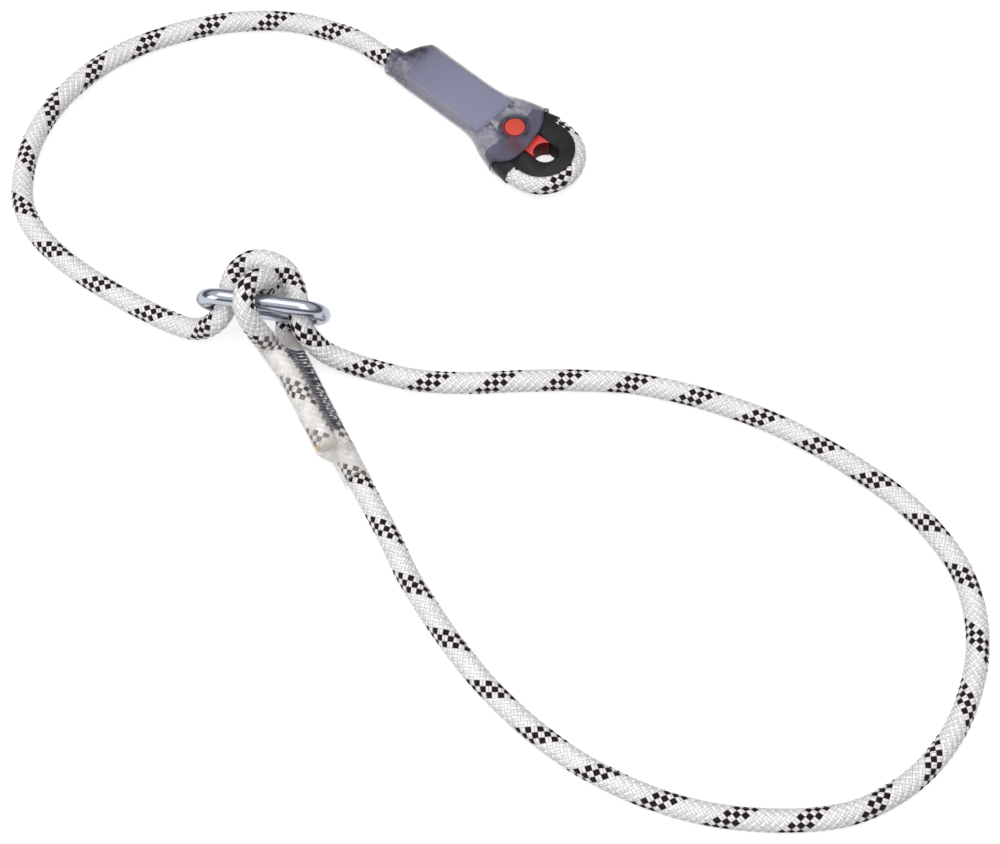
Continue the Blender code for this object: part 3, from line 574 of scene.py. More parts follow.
def plated_steel(name, colour, roughness):
    """Drawn steel rod, bent, welded and bright zinc plated: a bluish mirror, slightly softened, with faint
    drawing lines and a few cloudy patches where it has been handled."""
    finish, tree, shader = new_finish(name)
    place = add_node(tree, "TexCoord").outputs["Object"]
    # Drawing lines a third of a millimetre apart, coarser than the real ones so that they show, and long in
    # the rod's direction
    stretch = add_node(tree, "Mapping", {"Vector": place, "Scale": (60.0, 3000.0, 3000.0)})
    lines = noise(tree, stretch.outputs["Vector"], 1.0, 2.0)
    cloud = noise(tree, place, 160.0, 4.0, 0.6)
    tone = colour_between(tree, cloud, rgba(colour, 0.86), rgba(colour))
    rough = remap(tree, cloud, to_low=roughness - 0.05, to_high=roughness + 0.08)
    feed(tree, shader, {"Base Color": tone, "Roughness": rough, "Metallic": 1.0,
                        "Normal": relief(tree, lines, 0.2, 0.02 * MM)})
    return finish


def sewing_thread(name, colour):
    """Bonded polyester sewing thread, two plies twisted: a slight wax gloss and a slanting ply line."""
    finish, tree, shader = new_finish(name)
    place = add_node(tree, "TexCoord").outputs["Object"]
    # Ply lines 1.4 mm apart along the slant
    plies = add_node(tree, "TexWave", {"Vector": place, "Scale": 260.0, "Distortion": 1.5, "Detail": 2.0},
                     wave_type="BANDS", bands_direction="DIAGONAL").outputs["Fac"]
    tone = colour_between(tree, plies, rgba(colour, 0.55), rgba(colour, 1.25))
    feed(tree, shader, {"Base Color": tone, "Normal": relief(tree, plies, 0.5, 0.1 * MM), "Roughness": 0.55,
                        "Sheen Weight": 0.05, "Specular IOR Level": 0.25})
    return finish


# Where a yarn's skin is cut across and along, as shares of its width, and how high it stands at each cut
YARN_CUTS = (0.0, 0.16, 0.5, 0.84)
ACROSS_RISE = (0.0, 0.74, 1.0, 0.74)
ALONG_RISE = (0.0, 0.66, 1.0, 0.66)


def braided_rope(name, route, side, turns, rope, finishes):
    """The rope's sheath, yarn by yarn. A point of the mesh counts quarter yarns one way round and the
    other: their sum is its place round the rope and their difference its place along it."""
    line = smooth_line(route)
    travelled = distances(line)
    _, beside, across = carried_frame(line, np.array(side, float))
    yarns = rope.carriers
    around = 8 * yarns
    rows = int(round(travelled[-1] / rope.pitch * around / 2)) * 2
    half = around // 2
    row = np.repeat(np.arange(rows + 1), half)
    ring = row % 2 + 2 * np.tile(np.arange(half), rows + 1)
    right = (ring - row) // 2
    left = (ring + row) // 2
    cuts, rise_across, rise_along = (np.array(values) for values in (YARN_CUTS, ACROSS_RISE, ALONG_RISE))
    a = right // 4 + cuts[right % 4]
    b = left // 4 + cuts[left % 4]
    place = np.clip((b - a) / (2 * yarns) * rope.pitch, 0, travelled[-1])
    place = place * travelled[-1] / max(place.max(), 1e-9)
    place[row == 0] = 0
    place[row == rows] = travelled[-1]
    right_over = (right // 4 + left // 4) % 2 == 0
    height = np.where(right_over, rise_across[right % 4] * rise_along[left % 4],
                      rise_across[left % 4] * rise_along[right % 4])
    height[(row == 0) | (row == rows)] = 0
    stops, degrees = np.array(turns, float).T
    turn = (a + b) * math.pi / yarns + np.radians(np.interp(place, stops * MM, degrees))
    # The edges of the yarns lie nearly a crown's height inside the rope's own radius
    radius = rope.diameter / 2 - 0.85 * rope.crown + rope.crown * height
    centre, u, v = (np.column_stack([np.interp(place, travelled, values[:, k]) for k in range(3)])
                    for values in (line, beside, across))
    points = centre + u * (radius * np.cos(turn))[:, None] + v * (radius * np.sin(turn))[:, None]

    def number(row, ring):
        return row * half + (ring % around - row % 2) // 2

    row, ring, right, left = (values[half:-half] for values in (row, ring, right, left))
    quads = np.column_stack([number(row, ring), number(row + 1, ring + 1), number(row, ring + 2),
                             number(row - 1, ring + 1)])
    over = (right // 4 + left // 4) % 2 == 0
    marked = (left // 4) % yarns < rope.marked
    # White yarn, white yarn painted a shade darker where it crosses over the black ones, and black yarn
    kind = np.where(marked, np.where(over, 1, 2), 0)
    edge = np.append(cuts, 1.0)
    a0, a1, b0, b1 = edge[right % 4], edge[right % 4 + 1], edge[left % 4], edge[left % 4 + 1]
    corners = ((a0, b0), (a0, b1), (a1, b1), (a1, b0))
    # Whole numbers that give each stitch its own filaments
    shift = right // 4 * 17.0 + left // 4 * 23.0
    uv = np.stack([np.column_stack([np.where(over, p, q), np.where(over, q, p) + shift])
                   for p, q in corners], axis=1)
    faces = quads.tolist()
    caps = []
    for first, second, flip in ((0, 1, False), (rows, rows - 1, True)):
        rim = [number(first, first % 2 + 2 * k) for k in range(half)]
        for k in range(half):
            ring_here = first % 2 + 2 * k
            corner = (number(first, ring_here), number(second, ring_here + 1), number(first, ring_here + 2))
            caps.append(corner[::-1] if flip else corner)
        caps.append(rim if flip else rim[::-1])
    faces += [tuple(int(index) for index in cap) for cap in caps]
    piece = new_piece(name, points.tolist(), faces, *finishes)
    piece.data.polygons.foreach_set("material_index", kind.tolist() + [0] * len(caps))
    layer = piece.data.uv_layers.new(name="yarn")
    loose = sum(len(cap) for cap in caps)
    flat = np.concatenate([uv.reshape(-1), np.full(2 * loose, 0.5)])
    layer.data.foreach_set("uv", flat)
    return piece, line


def mark_layer(piece, layer_name, share):
    """Writes a layer that a material reads: a share from 0 to 1 at each point of the mesh."""
    layer = piece.data.attributes.new(layer_name, "FLOAT", "POINT")
    layer.data.foreach_set("value", [float(np.clip(share(vertex.co), 0, 1))
                                     for vertex in piece.data.vertices])


def rope_finishes(rope):
    """White yarn, the same white yarn painted in shade among the black ones, and black yarn, made once
    for the three pieces of rope.
    """
    # Name, colour, painted shade between the yarns and its darker mottles, roughness, sheen, gloss
    kinds = (("bright_polyamide_yarn", rope.white, "#c2c1c3", 0.36, 0.1, 0.55),
             ("shaded_polyamide_yarn_between", rope.shaded_between, "#bfb5b6", 0.4, 0.1, 0.5),
             ("black_polyamide_yarn", rope.black, "#0a0809", 0.6, 0.0, 0.18))
    made = []
    for name, colour, groove_shade_and_mottle, roughness, sheen, gloss in kinds:
        found = bpy.data.materials.get(name)
        made.append(found or braided_polyamide(name, colour, linear(groove_shade_and_mottle), roughness, sheen, gloss))
    return made


class LANYARD_OT_free_rope(bpy.types.Operator):
    """The free rope: out of the cover, through the ring and back into the sleeve"""
    bl_idname = "lanyard.free_rope"
    bl_label = "Free rope"

    def execute(self, context):
        rope = context.scene.lanyard_rope
        piece, line = braided_rope("free_rope", metres(FREE_ROUTE), (0, 0, 1), FREE_TURN, rope,
                                   rope_finishes(rope))
        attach(piece, "lanyard")
        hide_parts("rope_standing", "rope_bight", "rope_loop")
        return {"FINISHED"}


def pressed_by_cover(point):
    """The cover presses the braid flat behind the thimble."""
    return (-22 - (TO_EYE @ point).x / MM) / 5


def place_in_sleeve(point):
    """How far a point lies along the sleeve, and across it towards the tail, in millimetres."""
    away = point - SLEEVE_START
    return away.dot(SLEEVE_ALONG) / MM, away.dot(TO_TAIL) / MM


def pressed_by_sleeve(point):
    """The shrink sleeve presses the braid flat, all along but for its mouth."""
    return (place_in_sleeve(point)[0] - 4) / 8


class LANYARD_OT_sewn_ends(bpy.types.Operator):
    """The rope's two sewn ends, round the thimble and round the ring, and the sealed tail"""
    bl_idname = "lanyard.sewn_ends"
    bl_label = "Sewn ends"

    def execute(self, context):
        rope = context.scene.lanyard_rope
        finishes = rope_finishes(rope)
        ends = (("thimble_end", THIMBLE_ROUTE, THIMBLE_TURN, "rope_thimble_eye", pressed_by_cover),
                ("ring_end", RING_ROUTE, RING_TURN, "rope_ring_eye", pressed_by_sleeve))
        for name, route, turns, node, pressed in ends:
            piece, line = braided_rope(name, metres(route), (0, 0, 1), turns, rope, finishes)
            mark_layer(piece, "pressed", pressed)
            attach(piece, "lanyard")
            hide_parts(node)
        melt = melted_polyamide("hot_cut_polyamide", rope.sealed, rope.scorched)
        radius = rope.diameter / 2 - 0.3 * MM
        # Shares of the radius and heights in millimetres, from inside the rope to the melted face
        profile = [(0, -1.0), (0.9, -1.0), (1.0, -0.3), (0.97, 0.6), (0.84, 1.2), (0.5, 1.45), (0.2, 1.3),
                   (0, 1.25)]
        tip = lathe("sealed_tail", [(share * radius, height * MM) for share, height in profile], 36, melt)
        for vertex in tip.data.vertices:
            angle = math.atan2(vertex.co.y, vertex.co.x)
            vertex.co.z += 0.25 * MM * math.sin(3 * angle + 0.7) * Vector(vertex.co[:2]).length / radius
        heading = SLEEVE_ALONG.to_track_quat("Z", "Y").to_matrix().to_4x4()
        tip.matrix_world = Matrix.Translation(Vector(line[-1])) @ heading
        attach(tip, "lanyard")
        return {"FINISHED"}


class LANYARD_OT_thimble(bpy.types.Operator):
    """The black thimble that the rope's eye goes round"""
    bl_idname = "lanyard.thimble"
    bl_label = "Thimble"

    def execute(self, context):
        eye = context.scene.lanyard_eye
        # Black glass-filled polyamide, injection moulded: matt, with a fine grain and a grey bloom
        finish = moulded_plastic("glass_filled_polyamide", eye.plastic, roughness=0.46, grain=0.16 * MM,
                                 depth=0.05 * MM, gloss=0.3)
        piece = moulded_copy("thimble", "thimble_body", finish, eye.edge)
        # The walls of its window are a darker, duller copy of the plastic: painted shade in the window
        window_shade = moulded_plastic("shaded_window_polyamide", eye.window_shade, roughness=0.6, grain=0.3 * MM, depth=0.05 * MM,
                               gloss=0.08)
        piece.data.materials.append(window_shade)
        # Side faces round the window take the painted shade
        for face in piece.data.polygons:
            place = TO_EYE @ face.center / MM
            if abs(face.normal.z) < 0.6 and math.hypot(place.x - 2, place.y) < 11:
                face.material_index = 1
        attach(piece, "lanyard")
        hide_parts("thimble")
        return {"FINISHED"}


class LANYARD_OT_keeper(bpy.types.Operator):
    """The red keeper, the push button and the spring under it"""
    bl_idname = "lanyard.keeper"
    bl_label = "Keeper and button"

    def execute(self, context):
        eye = context.scene.lanyard_eye
        # Red acetal, injection moulded in an eroded tool: a coarse grain breaks its highlight. The side
        # walls of its seat, below its top, are a dark red copy: painted shade in the thimble's slot
        red = moulded_plastic("moulded_acetal_keeper", eye.keeper, roughness=0.3, grain=0.5 * MM,
                              depth=0.4 * MM, blotch=0.2, gloss=0.6)
        shaded_seat = moulded_plastic("shaded_seat_acetal_keeper", eye.seat_shade, roughness=0.5, grain=0.5 * MM,
                                  depth=0.2 * MM, blotch=0.3, gloss=0.12)
        keeper = moulded_copy("connector_keeper", "keeper_saddle", red, eye.edge * 2.6)
        keeper.data.materials.append(shaded_seat)
        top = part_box("connector_keeper")[1].z
        # Side faces over 1 mm below the top take the painted shade
        for face in keeper.data.polygons:
            if face.center.z < top - 1.0 * MM and abs(face.normal.z) < 0.75:
                face.material_index = 1
        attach(keeper, "keeper")
        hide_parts("connector_keeper")
        # Red acetal, moulded and satin: a plain soft highlight
        satin = moulded_plastic("moulded_acetal_button", eye.button, roughness=0.42, grain=0.2 * MM,
                                depth=0.03 * MM, blotch=0.05)
        low, high = (corner.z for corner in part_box("lock_button"))
        # A chamfered foot, a round shoulder and a face that rises a little to its middle
        chamfer, shoulder = 0.3 * MM, 0.6 * MM
        profile = [(0, low), (eye.button_radius - chamfer, low), (eye.button_radius, low + chamfer)]
        for step in range(9):
            turn = math.pi / 2 * step / 8
            profile.append((eye.button_radius - shoulder * (1 - math.cos(turn)),
                            high - 0.25 * MM - shoulder * (1 - math.sin(turn))))
        profile += [(3.4 * MM, high - 0.1 * MM), (1.7 * MM, high - 0.02 * MM), (0, high)]
        button = lathe("push_button", profile, 96, satin)
        button.matrix_world = EYE_MATRIX @ Matrix.Translation((BUTTON_PLACE, 0, 0))
        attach(button, "button")
        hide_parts("lock_button")
        # Drawn spring wire: bright grey with drawing lines
        wire = plated_steel("drawn_spring_wire", linear("#b9b9b9"), 0.3)
        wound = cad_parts["button_spring"].data
        coil = new_piece("return_spring", [vertex.co for vertex in wound.vertices],
                         [tuple(face.vertices) for face in wound.polygons], wire)
        low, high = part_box("button_spring")
        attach(coil, "lanyard")
        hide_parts("button_spring")
        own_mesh(coil)
        return {"FINISHED"}


def through(table, x):
    """A smooth row of a table at a place, with no overshoot."""
    rows = np.array(table, float)
    place = int(np.clip(np.searchsorted(rows[:, 0], x) - 1, 0, len(rows) - 2))
    slopes = []
    for here in (place, place + 1):
        if here in (0, len(rows) - 1):
            slopes.append(np.zeros(rows.shape[1]))
            continue
        before = (rows[here] - rows[here - 1]) / (rows[here, 0] - rows[here - 1, 0])
        after = (rows[here + 1] - rows[here]) / (rows[here + 1, 0] - rows[here, 0])
        slopes.append(np.where(before * after > 0, 2 * before * after / (before + after + 1e-30), 0))
    wide = rows[place + 1, 0] - rows[place, 0]
    t = (x - rows[place, 0]) / wide
    return ((2 * t ** 3 - 3 * t ** 2 + 1) * rows[place] + (t ** 3 - 2 * t ** 2 + t) * wide * slopes[0]
            + (3 * t ** 2 - 2 * t ** 3) * rows[place + 1] + (t ** 3 - t ** 2) * wide * slopes[1])


# Points of a section in a quarter turn of the cover's corner, and along its top or bottom
CORNER_STEPS = 12
FLAT_STEPS = 16


def cover_section(x, inset):
    """Rounded rectangle round the termination's middle line, moved in by an inset."""
    _, shift, half_width, half_height, crease = through(COVER_STATIONS, x) * MM
    half_width, half_height, crease = (size - inset for size in (half_width, half_height, crease))
    points = []
    for quarter, (side, rise) in enumerate(((1, 1), (-1, 1), (-1, -1), (1, -1))):
        corner = crease if rise > 0 else max(crease, LOWER_CREASE - inset)
        for step in range(CORNER_STEPS + 1):
            turn = math.pi / 2 * (quarter + step / CORNER_STEPS)
            points.append(Vector((x * MM, shift + side * (half_width - corner) + corner * math.cos(turn),
                                  MIDDLE + rise * (half_height - corner) + corner * math.sin(turn))))
        if quarter % 2 == 0:
            start = points[-1]
            end = Vector((x * MM, shift - side * (half_width - corner), start.z))
            points += [start.lerp(end, step / FLAT_STEPS) for step in range(1, FLAT_STEPS)]
    # The mouth is cut at a slant: its near side lies further in
    slant = float(np.clip((-92 - x) / 5, 0, 1))
    for point in points:
        point.x += 1.5 * MM * slant * (1 - (point.y - shift) / half_width)
    return points


def cover_top(x, y):
    """Height of the cover's upper face over a place."""
    _, shift, half_width, half_height, crease = through(COVER_STATIONS, x / MM) * MM
    over = max(abs(y - shift) - (half_width - crease), 0)
    return MIDDLE + half_height - crease + math.sqrt(max(crease ** 2 - over ** 2, 0))


def from_button(point):
    """Distance from the button's axis."""
    return math.hypot(point.x - BUTTON_PLACE, point.y)


def boss_rise(point):
    """How much higher the cover stands at a point round the button."""
    share = np.clip((BOSS_RADIUS - from_button(point)) / BOSS_FOOT, 0, 1)
    return BOSS_RISE * share * share * (3 - 2 * share)


def front_edge(spacing):
    """Points a spacing apart along the cover's front edge."""
    return smooth_line([(x * MM, y * MM, 0) for x, y in COVER_FRONT_EDGE], spacing)


def clear_of_label(point):
    """The cover lies smooth on the label and in blotches before and behind it."""
    place = point.x / MM
    front = np.clip((place + 33) / 4, 0, 1) * np.clip((-14 - place) / 5, 0, 1)
    rear = np.clip((-81 - place) / 5, 0, 1)
    return front + rear


def folded_double(point):
    """Where the cover's wall is thick: on the far side of its neck, along its far edge and in the boss round
    the button."""
    x, y = point.x / MM, point.y / MM
    neck = np.clip((-83.5 - x) / 3, 0, 1) * np.clip((y + 9 - 0.5 * (x + 99)) / 3, 0.35, 1)
    ear = np.clip((x + 34) / 6, 0, 1) * np.clip((y - 12 - 0.3 * (x + 34)) / 4, 0, 1)
    boss = np.clip((9.0 - from_button(point) / MM) / 0.8, 0, 1)
    far_edge = np.clip((y - 11.2) / 0.8, 0, 1) * np.clip((-36 - x) / 3, 0, 1)
    return neck + 0.6 * ear + boss + 0.55 * far_edge


def over_red(point):
    """Where the button's foot and the keeper show red through the cover, near the button."""
    x, y = point.x / MM, point.y / MM
    foot = np.clip((7.6 - from_button(point) / MM) / 1.2, 0, 1) * np.clip((-1 - y) / 3, 0, 1)
    keeper = np.clip(1.35 - math.hypot((x + 9.5) / 5.5, (y + 8.5) / 4.0), 0, 1)
    return 0.6 * foot + 0.6 * keeper


class LANYARD_OT_cover(bpy.types.Operator):
    """The soft smoke-tinted cover over the sewn legs"""
    bl_idname = "lanyard.cover"
    bl_label = "Cover"

    def execute(self, context):
        eye = context.scene.lanyard_eye
        # Plasticised PVC, dip moulded, smoke tint: glossy, and cloudy where it lifts off the rope
        finish = clear_film("smoke_dipped_pvc", eye.smoke, eye.rim, low=0.22, high=0.44, edge=0.72,
                            calm=0.272, blotch=4.0 * MM, ior=1.5, gloss=0.2, under=eye.glow)
        places = places_in(COVER_ROWS)
        skin = [cover_section(x, 0) for x in places]
        for section in skin:
            for point in section:
                if point.z > MIDDLE + 7 * MM:
                    point.z += boss_rise(point)
        # The bore begins 2 mm before the mouth
        bore = [cover_section(x, eye.wall) for x in [places[0], *places]]
        for section in bore:
            for point in section:
                point.z = max(point.z, BORE_FLOOR)
        for point in bore[0]:
            point.x -= 2 * MM
        cover = loft("smoke_cover", skin, finish)
        cut(cover, loft("cover_bore", bore))
        # What lies before the front edge goes, and the hole for the button
        front = front_edge(1.0 * MM)[:, :2].tolist() + [(30 * MM, -30 * MM), (30 * MM, 30 * MM)]
        cut(cover, loft("cover_front", [[(x, y, z) for x, y in front] for z in (-30 * MM, 50 * MM)]))
        hole = circle(eye.button_radius + BUTTON_GAP, 64)
        cut(cover, loft("button_hole", [[(x + BUTTON_PLACE, y, z) for x, y in hole]
                                        for z in (MIDDLE, 50 * MM)]))
        round_edges(cover, 0.18 * MM, 40)
        mark_layer(cover, "loose", clear_of_label)
        mark_layer(cover, "thick", folded_double)
        mark_layer(cover, "lit", over_red)
        cover.data.transform(EYE_MATRIX)
        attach(cover, "lanyard")
        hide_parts("protective_cover")
        # A dark opaque bead along the front edge paints the shadow line between the cover and the thimble
        shadow_line = moulded_plastic("shadow_line_pvc_edge", eye.rim, roughness=0.3, grain=0.5 * MM, depth=0.05 * MM)
        lip_points = []
        for x, y, _ in front_edge(0.25 * MM):
            _, shift, half_width, _, _ = through(COVER_STATIONS, x / MM) * MM
            if abs(y - shift) < half_width - 0.05 * MM:
                top = Vector((x, y, cover_top(x, y)))
                top.z += boss_rise(top) + 0.02 * MM
                lip_points.append(top)
        # It runs a little way down each side wall
        down = Vector((0, 0, 5 * MM))
        lip_points = [lip_points[0] - down, *lip_points, lip_points[-1] - down]
        line = smooth_line([tuple(point) for point in lip_points], 0.8 * MM)
        lip = tube("cover_lip", line, (0, 0, 1), LIP_RADIUS, 10, shadow_line)
        lip.data.transform(EYE_MATRIX)
        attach(lip, "lanyard")
        return {"FINISHED"}


class LANYARD_OT_label(bpy.types.Operator):
    """The blank label under the cover, folded down the near side at its rear"""
    bl_idname = "lanyard.label"
    bl_label = "Label"

    def execute(self, context):
        eye = context.scene.lanyard_eye
        # Matt polyester film, printed plain: an even pale face with a wide soft highlight
        finish = moulded_plastic("blank_polyester_film", eye.label, roughness=0.45, grain=0.6 * MM,
                                 depth=0.02 * MM, blotch=0.04)
        sections = []
        top = MIDDLE / MM + 6.2
        crease = 1.4
        for x, leg, drop in LABEL_STATIONS:
            near, far = -leg - 6.1, leg + 5.9
            fold = [(far, top - 4.0), (far, top - 1.2), (far - 0.35, top - 0.35), (far - 1.2, top)]
            fold += [(near + crease - crease * math.sin(turn), top - crease + crease * math.cos(turn))
                     for turn in np.linspace(0, math.pi / 2, 9)]
            fold.append((near, top - drop))
            inside = [(y - LABEL_FILM * np.sign(y) * min(1, abs(y) / 3), z - LABEL_FILM)
                      for y, z in fold[::-1]]
            sections.append([(x * MM, y * MM, z * MM) for y, z in fold + inside])
        # The strip down its near side is the same film painted lighter: painted light
        strip = moulded_plastic("lit_strip_polyester_film", eye.strip, roughness=0.45, grain=0.6 * MM,
                                depth=0.02 * MM, blotch=0.04)
        label = loft("blank_label", sections, finish, strip)
        # Near-side faces behind the thimble take the painted light
        for face in label.data.polygons:
            if face.center.y < 0 and abs(face.normal.z) < 0.6 and face.center.x < -38 * MM:
                face.material_index = 1
        label.data.transform(EYE_MATRIX)
        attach(label, "lanyard")
        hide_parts("marking_label")
        return {"FINISHED"}


class LANYARD_OT_ring(bpy.types.Operator):
    """The long steel ring"""
    bl_idname = "lanyard.ring"
    bl_label = "Ring"

    def execute(self, context):
        ring = context.scene.lanyard_ring
        finish = plated_steel("bright_zinc_plated_steel", ring.steel, 0.17)
        radius = (ring.inside + ring.rod) / 2
        straight = (ring.length - ring.rod) / 2 - radius
        path = []
        for side, start in ((1, -90), (-1, 90)):
            for step in range(41):
                turn = math.radians(start + 180 * step / 40)
                path.append((side * straight + radius * math.cos(turn), 0, radius * math.sin(turn)))
            path += [(side * straight * (1 - step / 10), 0, side * radius) for step in range(1, 20)]
        path.append(path[0])
        piece = tube("steel_ring", np.array(path), (0, 1, 0), ring.rod / 2, 48, finish, closed=True)
        piece.matrix_world = RING_MATRIX
        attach(piece, "ring")
        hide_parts("adjuster_ring")
        return {"FINISHED"}


# Points of a section in a half turn round a rope, and between the two ropes
HALF_TURN_STEPS = 20
BRIDGE_STEPS = 6


def sleeve_section(ends, radius, lowest):
    """Outline round the two ropes in the sleeve, from the middle and the heading of each."""
    (lower, heading), (upper, turned) = ends
    across = (upper - lower).normalized()
    points = []
    for centre, way, start in ((lower, heading, 90), (upper, turned, 270)):
        beside = (across - way * across.dot(way)).normalized()
        outward = beside.cross(way)
        for step in range(HALF_TURN_STEPS + 1):
            turn = math.radians(start + 180 * step / HALF_TURN_STEPS)
            points.append(centre + beside * math.cos(turn) * radius + outward * math.sin(turn) * radius)
        first = points[-1]
        if centre is lower:
            beside = (across - turned * across.dot(turned)).normalized()
            last = upper - beside.cross(turned) * radius
        else:
            last = points[0]
        points += [first.lerp(last, step / BRIDGE_STEPS) for step in range(1, BRIDGE_STEPS)]
    for point in points:
        point.z = max(point.z, lowest)
    return points


def sleeved_ropes(place, apart, line):
    """Middle and heading of both ropes at a place in the sleeve. At its mouth the legs part for the ring,
    and the sleeve goes with them along the rope's line."""
    lower = SLEEVE_START + SLEEVE_ALONG * place
    if place >= MOUTH_DEPTH:
        return (lower, SLEEVE_ALONG), (lower + TO_TAIL * apart, SLEEVE_ALONG)
    travelled = distances(line)
    on_lower = LOWER_LEG_AT_MOUTH - place
    on_upper = travelled[-1] - UPPER_LEG_LEFT - (MOUTH_DEPTH - place) * UPPER_LEG_CLIMB
    ends = []
    for at, ahead in ((on_lower, -1), (on_upper, 1)):
        here, there = (Vector([np.interp(at + step, travelled, line[:, axis]) for axis in range(3)])
                       for step in (-0.5 * MM, 0.5 * MM))
        ends.append(((here + there) / 2, ((there - here) * ahead).normalized()))
    return ends


def clear_of_seam(point):
    """The sleeve clings to the seam and lies milky elsewhere."""
    along, across = place_in_sleeve(point)
    length = np.clip((60 - along) / 3, 0, 1) * np.clip((along - 5) / 4, 0, 1)
    return 1 - length * np.clip((9.5 - across) / 3, 0, 1)


def gathered(point):
    """The sleeve has shrunk double between the legs at its mouth, and over the step at the tail's end."""
    along, across = place_in_sleeve(point)
    mouth = np.clip((9 - along) / 3, 0, 1) * np.clip((6 - abs(across - LEG_OFFSET / MM)) / 4, 0, 1)
    step = np.clip(1.4 - abs(along - 69.5) / 4, 0, 1)
    return 0.8 * mouth + 0.5 * step


class LANYARD_OT_sleeve(bpy.types.Operator):
    """The clear shrink sleeve over the sewn end at the ring"""
    bl_idname = "lanyard.sleeve"
    bl_label = "Sleeve"

    def execute(self, context):
        sleeve = context.scene.lanyard_sleeve
        # Polyolefin heat-shrink tube: clear but milky, with small puckers where it has drawn in
        finish = clear_film("milky_shrink_polyolefin", sleeve.film, sleeve.rim, low=0.05, high=0.21,
                            edge=0.5, calm=0.02, blotch=7.0 * MM, ior=1.49, gloss=0.5)
        legs = smooth_line(metres(RING_ROUTE), 0.5 * MM)
        skin, bore = [], []
        for x in places_in(SLEEVE_ROWS):
            _, apart, flare = through(SLEEVE_STATIONS, x) * MM
            ends = sleeved_ropes(x * MM, apart, legs)
            # Puckers that come and go along it
            inner = SLEEVE_BORE + flare + 0.1 * MM * math.sin(x * 1.3) * math.sin(x * 0.37)
            skin.append(sleeve_section(ends, inner + sleeve.wall, 0))
            bore.append(sleeve_section(ends, inner, sleeve.wall))
        piece = loft("clear_sleeve", skin + bore[::-1], finish, closed=True)
        mark_layer(piece, "loose", clear_of_seam)
        mark_layer(piece, "thick", gathered)
        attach(piece, "lanyard")
        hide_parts("shrink_sleeve")
        return {"FINISHED"}


def bartack(middle, along, across, off, length, thread, stitch, reach, bias, rope_radius):
    """The line of a seam of bars, two plies each, over the valley between two ropes side by side. The
    thread goes back through the ropes under each bar. The seam lies off their middle by a bias."""
    # The lowest that a bar sags into the valley, and how deep the thread goes back
    sag = 4.7 * MM
    back = 2.2 * MM
    line = []
    for ply in range(2 * int(round(length / stitch))):
        start = ply // 2 * stitch + ply % 2 * thread * 0.95
        wide = reach * (1 + 0.07 * math.sin(5.3 * ply))
        for step in range(13):
            share = step / 12
            y = wide * (1 - 2 * share) + bias
            x = start + stitch * (0.2 * share + 0.12 * math.sin(3.1 * ply) * share)
            bed = math.sqrt(max(rope_radius ** 2 - (LEG_OFFSET - abs(y)) ** 2, 0))
            z = bed if abs(y) > LEG_OFFSET else max(bed, sag)
            line.append(middle + along * x + across * y + off * (z - thread * 0.35))
        for y in (-0.92, -0.3, 0.4, 0.92):
            line.append(middle + along * (x + stitch * 0.1) + across * (y * wide + bias) + off * back)
    return smooth_line([tuple(point) for point in line], thread * 0.6)


class LANYARD_OT_stitching(bpy.types.Operator):
    """The dark thread that joins the legs, in the sleeve and in the cover"""
    bl_idname = "lanyard.stitching"
    bl_label = "Stitching"

    def execute(self, context):
        sleeve = context.scene.lanyard_sleeve
        rope_radius = context.scene.lanyard_rope.diameter / 2
        finish = sewing_thread("bonded_polyester_thread", sleeve.slate)
        sleeve_start = SLEEVE_START + SLEEVE_ALONG * 9 * MM + TO_TAIL * LEG_OFFSET
        cover_start = EYE_MATRIX @ Vector((-80 * MM, 0, MIDDLE))
        turned = EYE_MATRIX.to_3x3()
        # Name, start, ways along, across and off the ropes, length, reach to each side, bias, node
        seams = (("sleeve_thread", sleeve_start, SLEEVE_ALONG, TO_TAIL, OFF_PAIR, 49 * MM, 6.2 * MM,
                  -1.0 * MM, "ring_eye_stitching"),
                 ("cover_thread", cover_start, turned @ Vector((1, 0, 0)), turned @ Vector((0, 1, 0)),
                  Vector((0, 0, 1)), 39 * MM, 3.5 * MM, 0.0, "thimble_stitching"))
        for name, middle, along, across, off, length, reach, bias, node in seams:
            line = bartack(middle, along, across, off, length, sleeve.thread, sleeve.stitch, reach, bias,
                           rope_radius)
            piece = tube(name, line, off, sleeve.thread / 2, 8, finish)
            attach(piece, "lanyard")
            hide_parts(node)
        return {"FINISHED"}


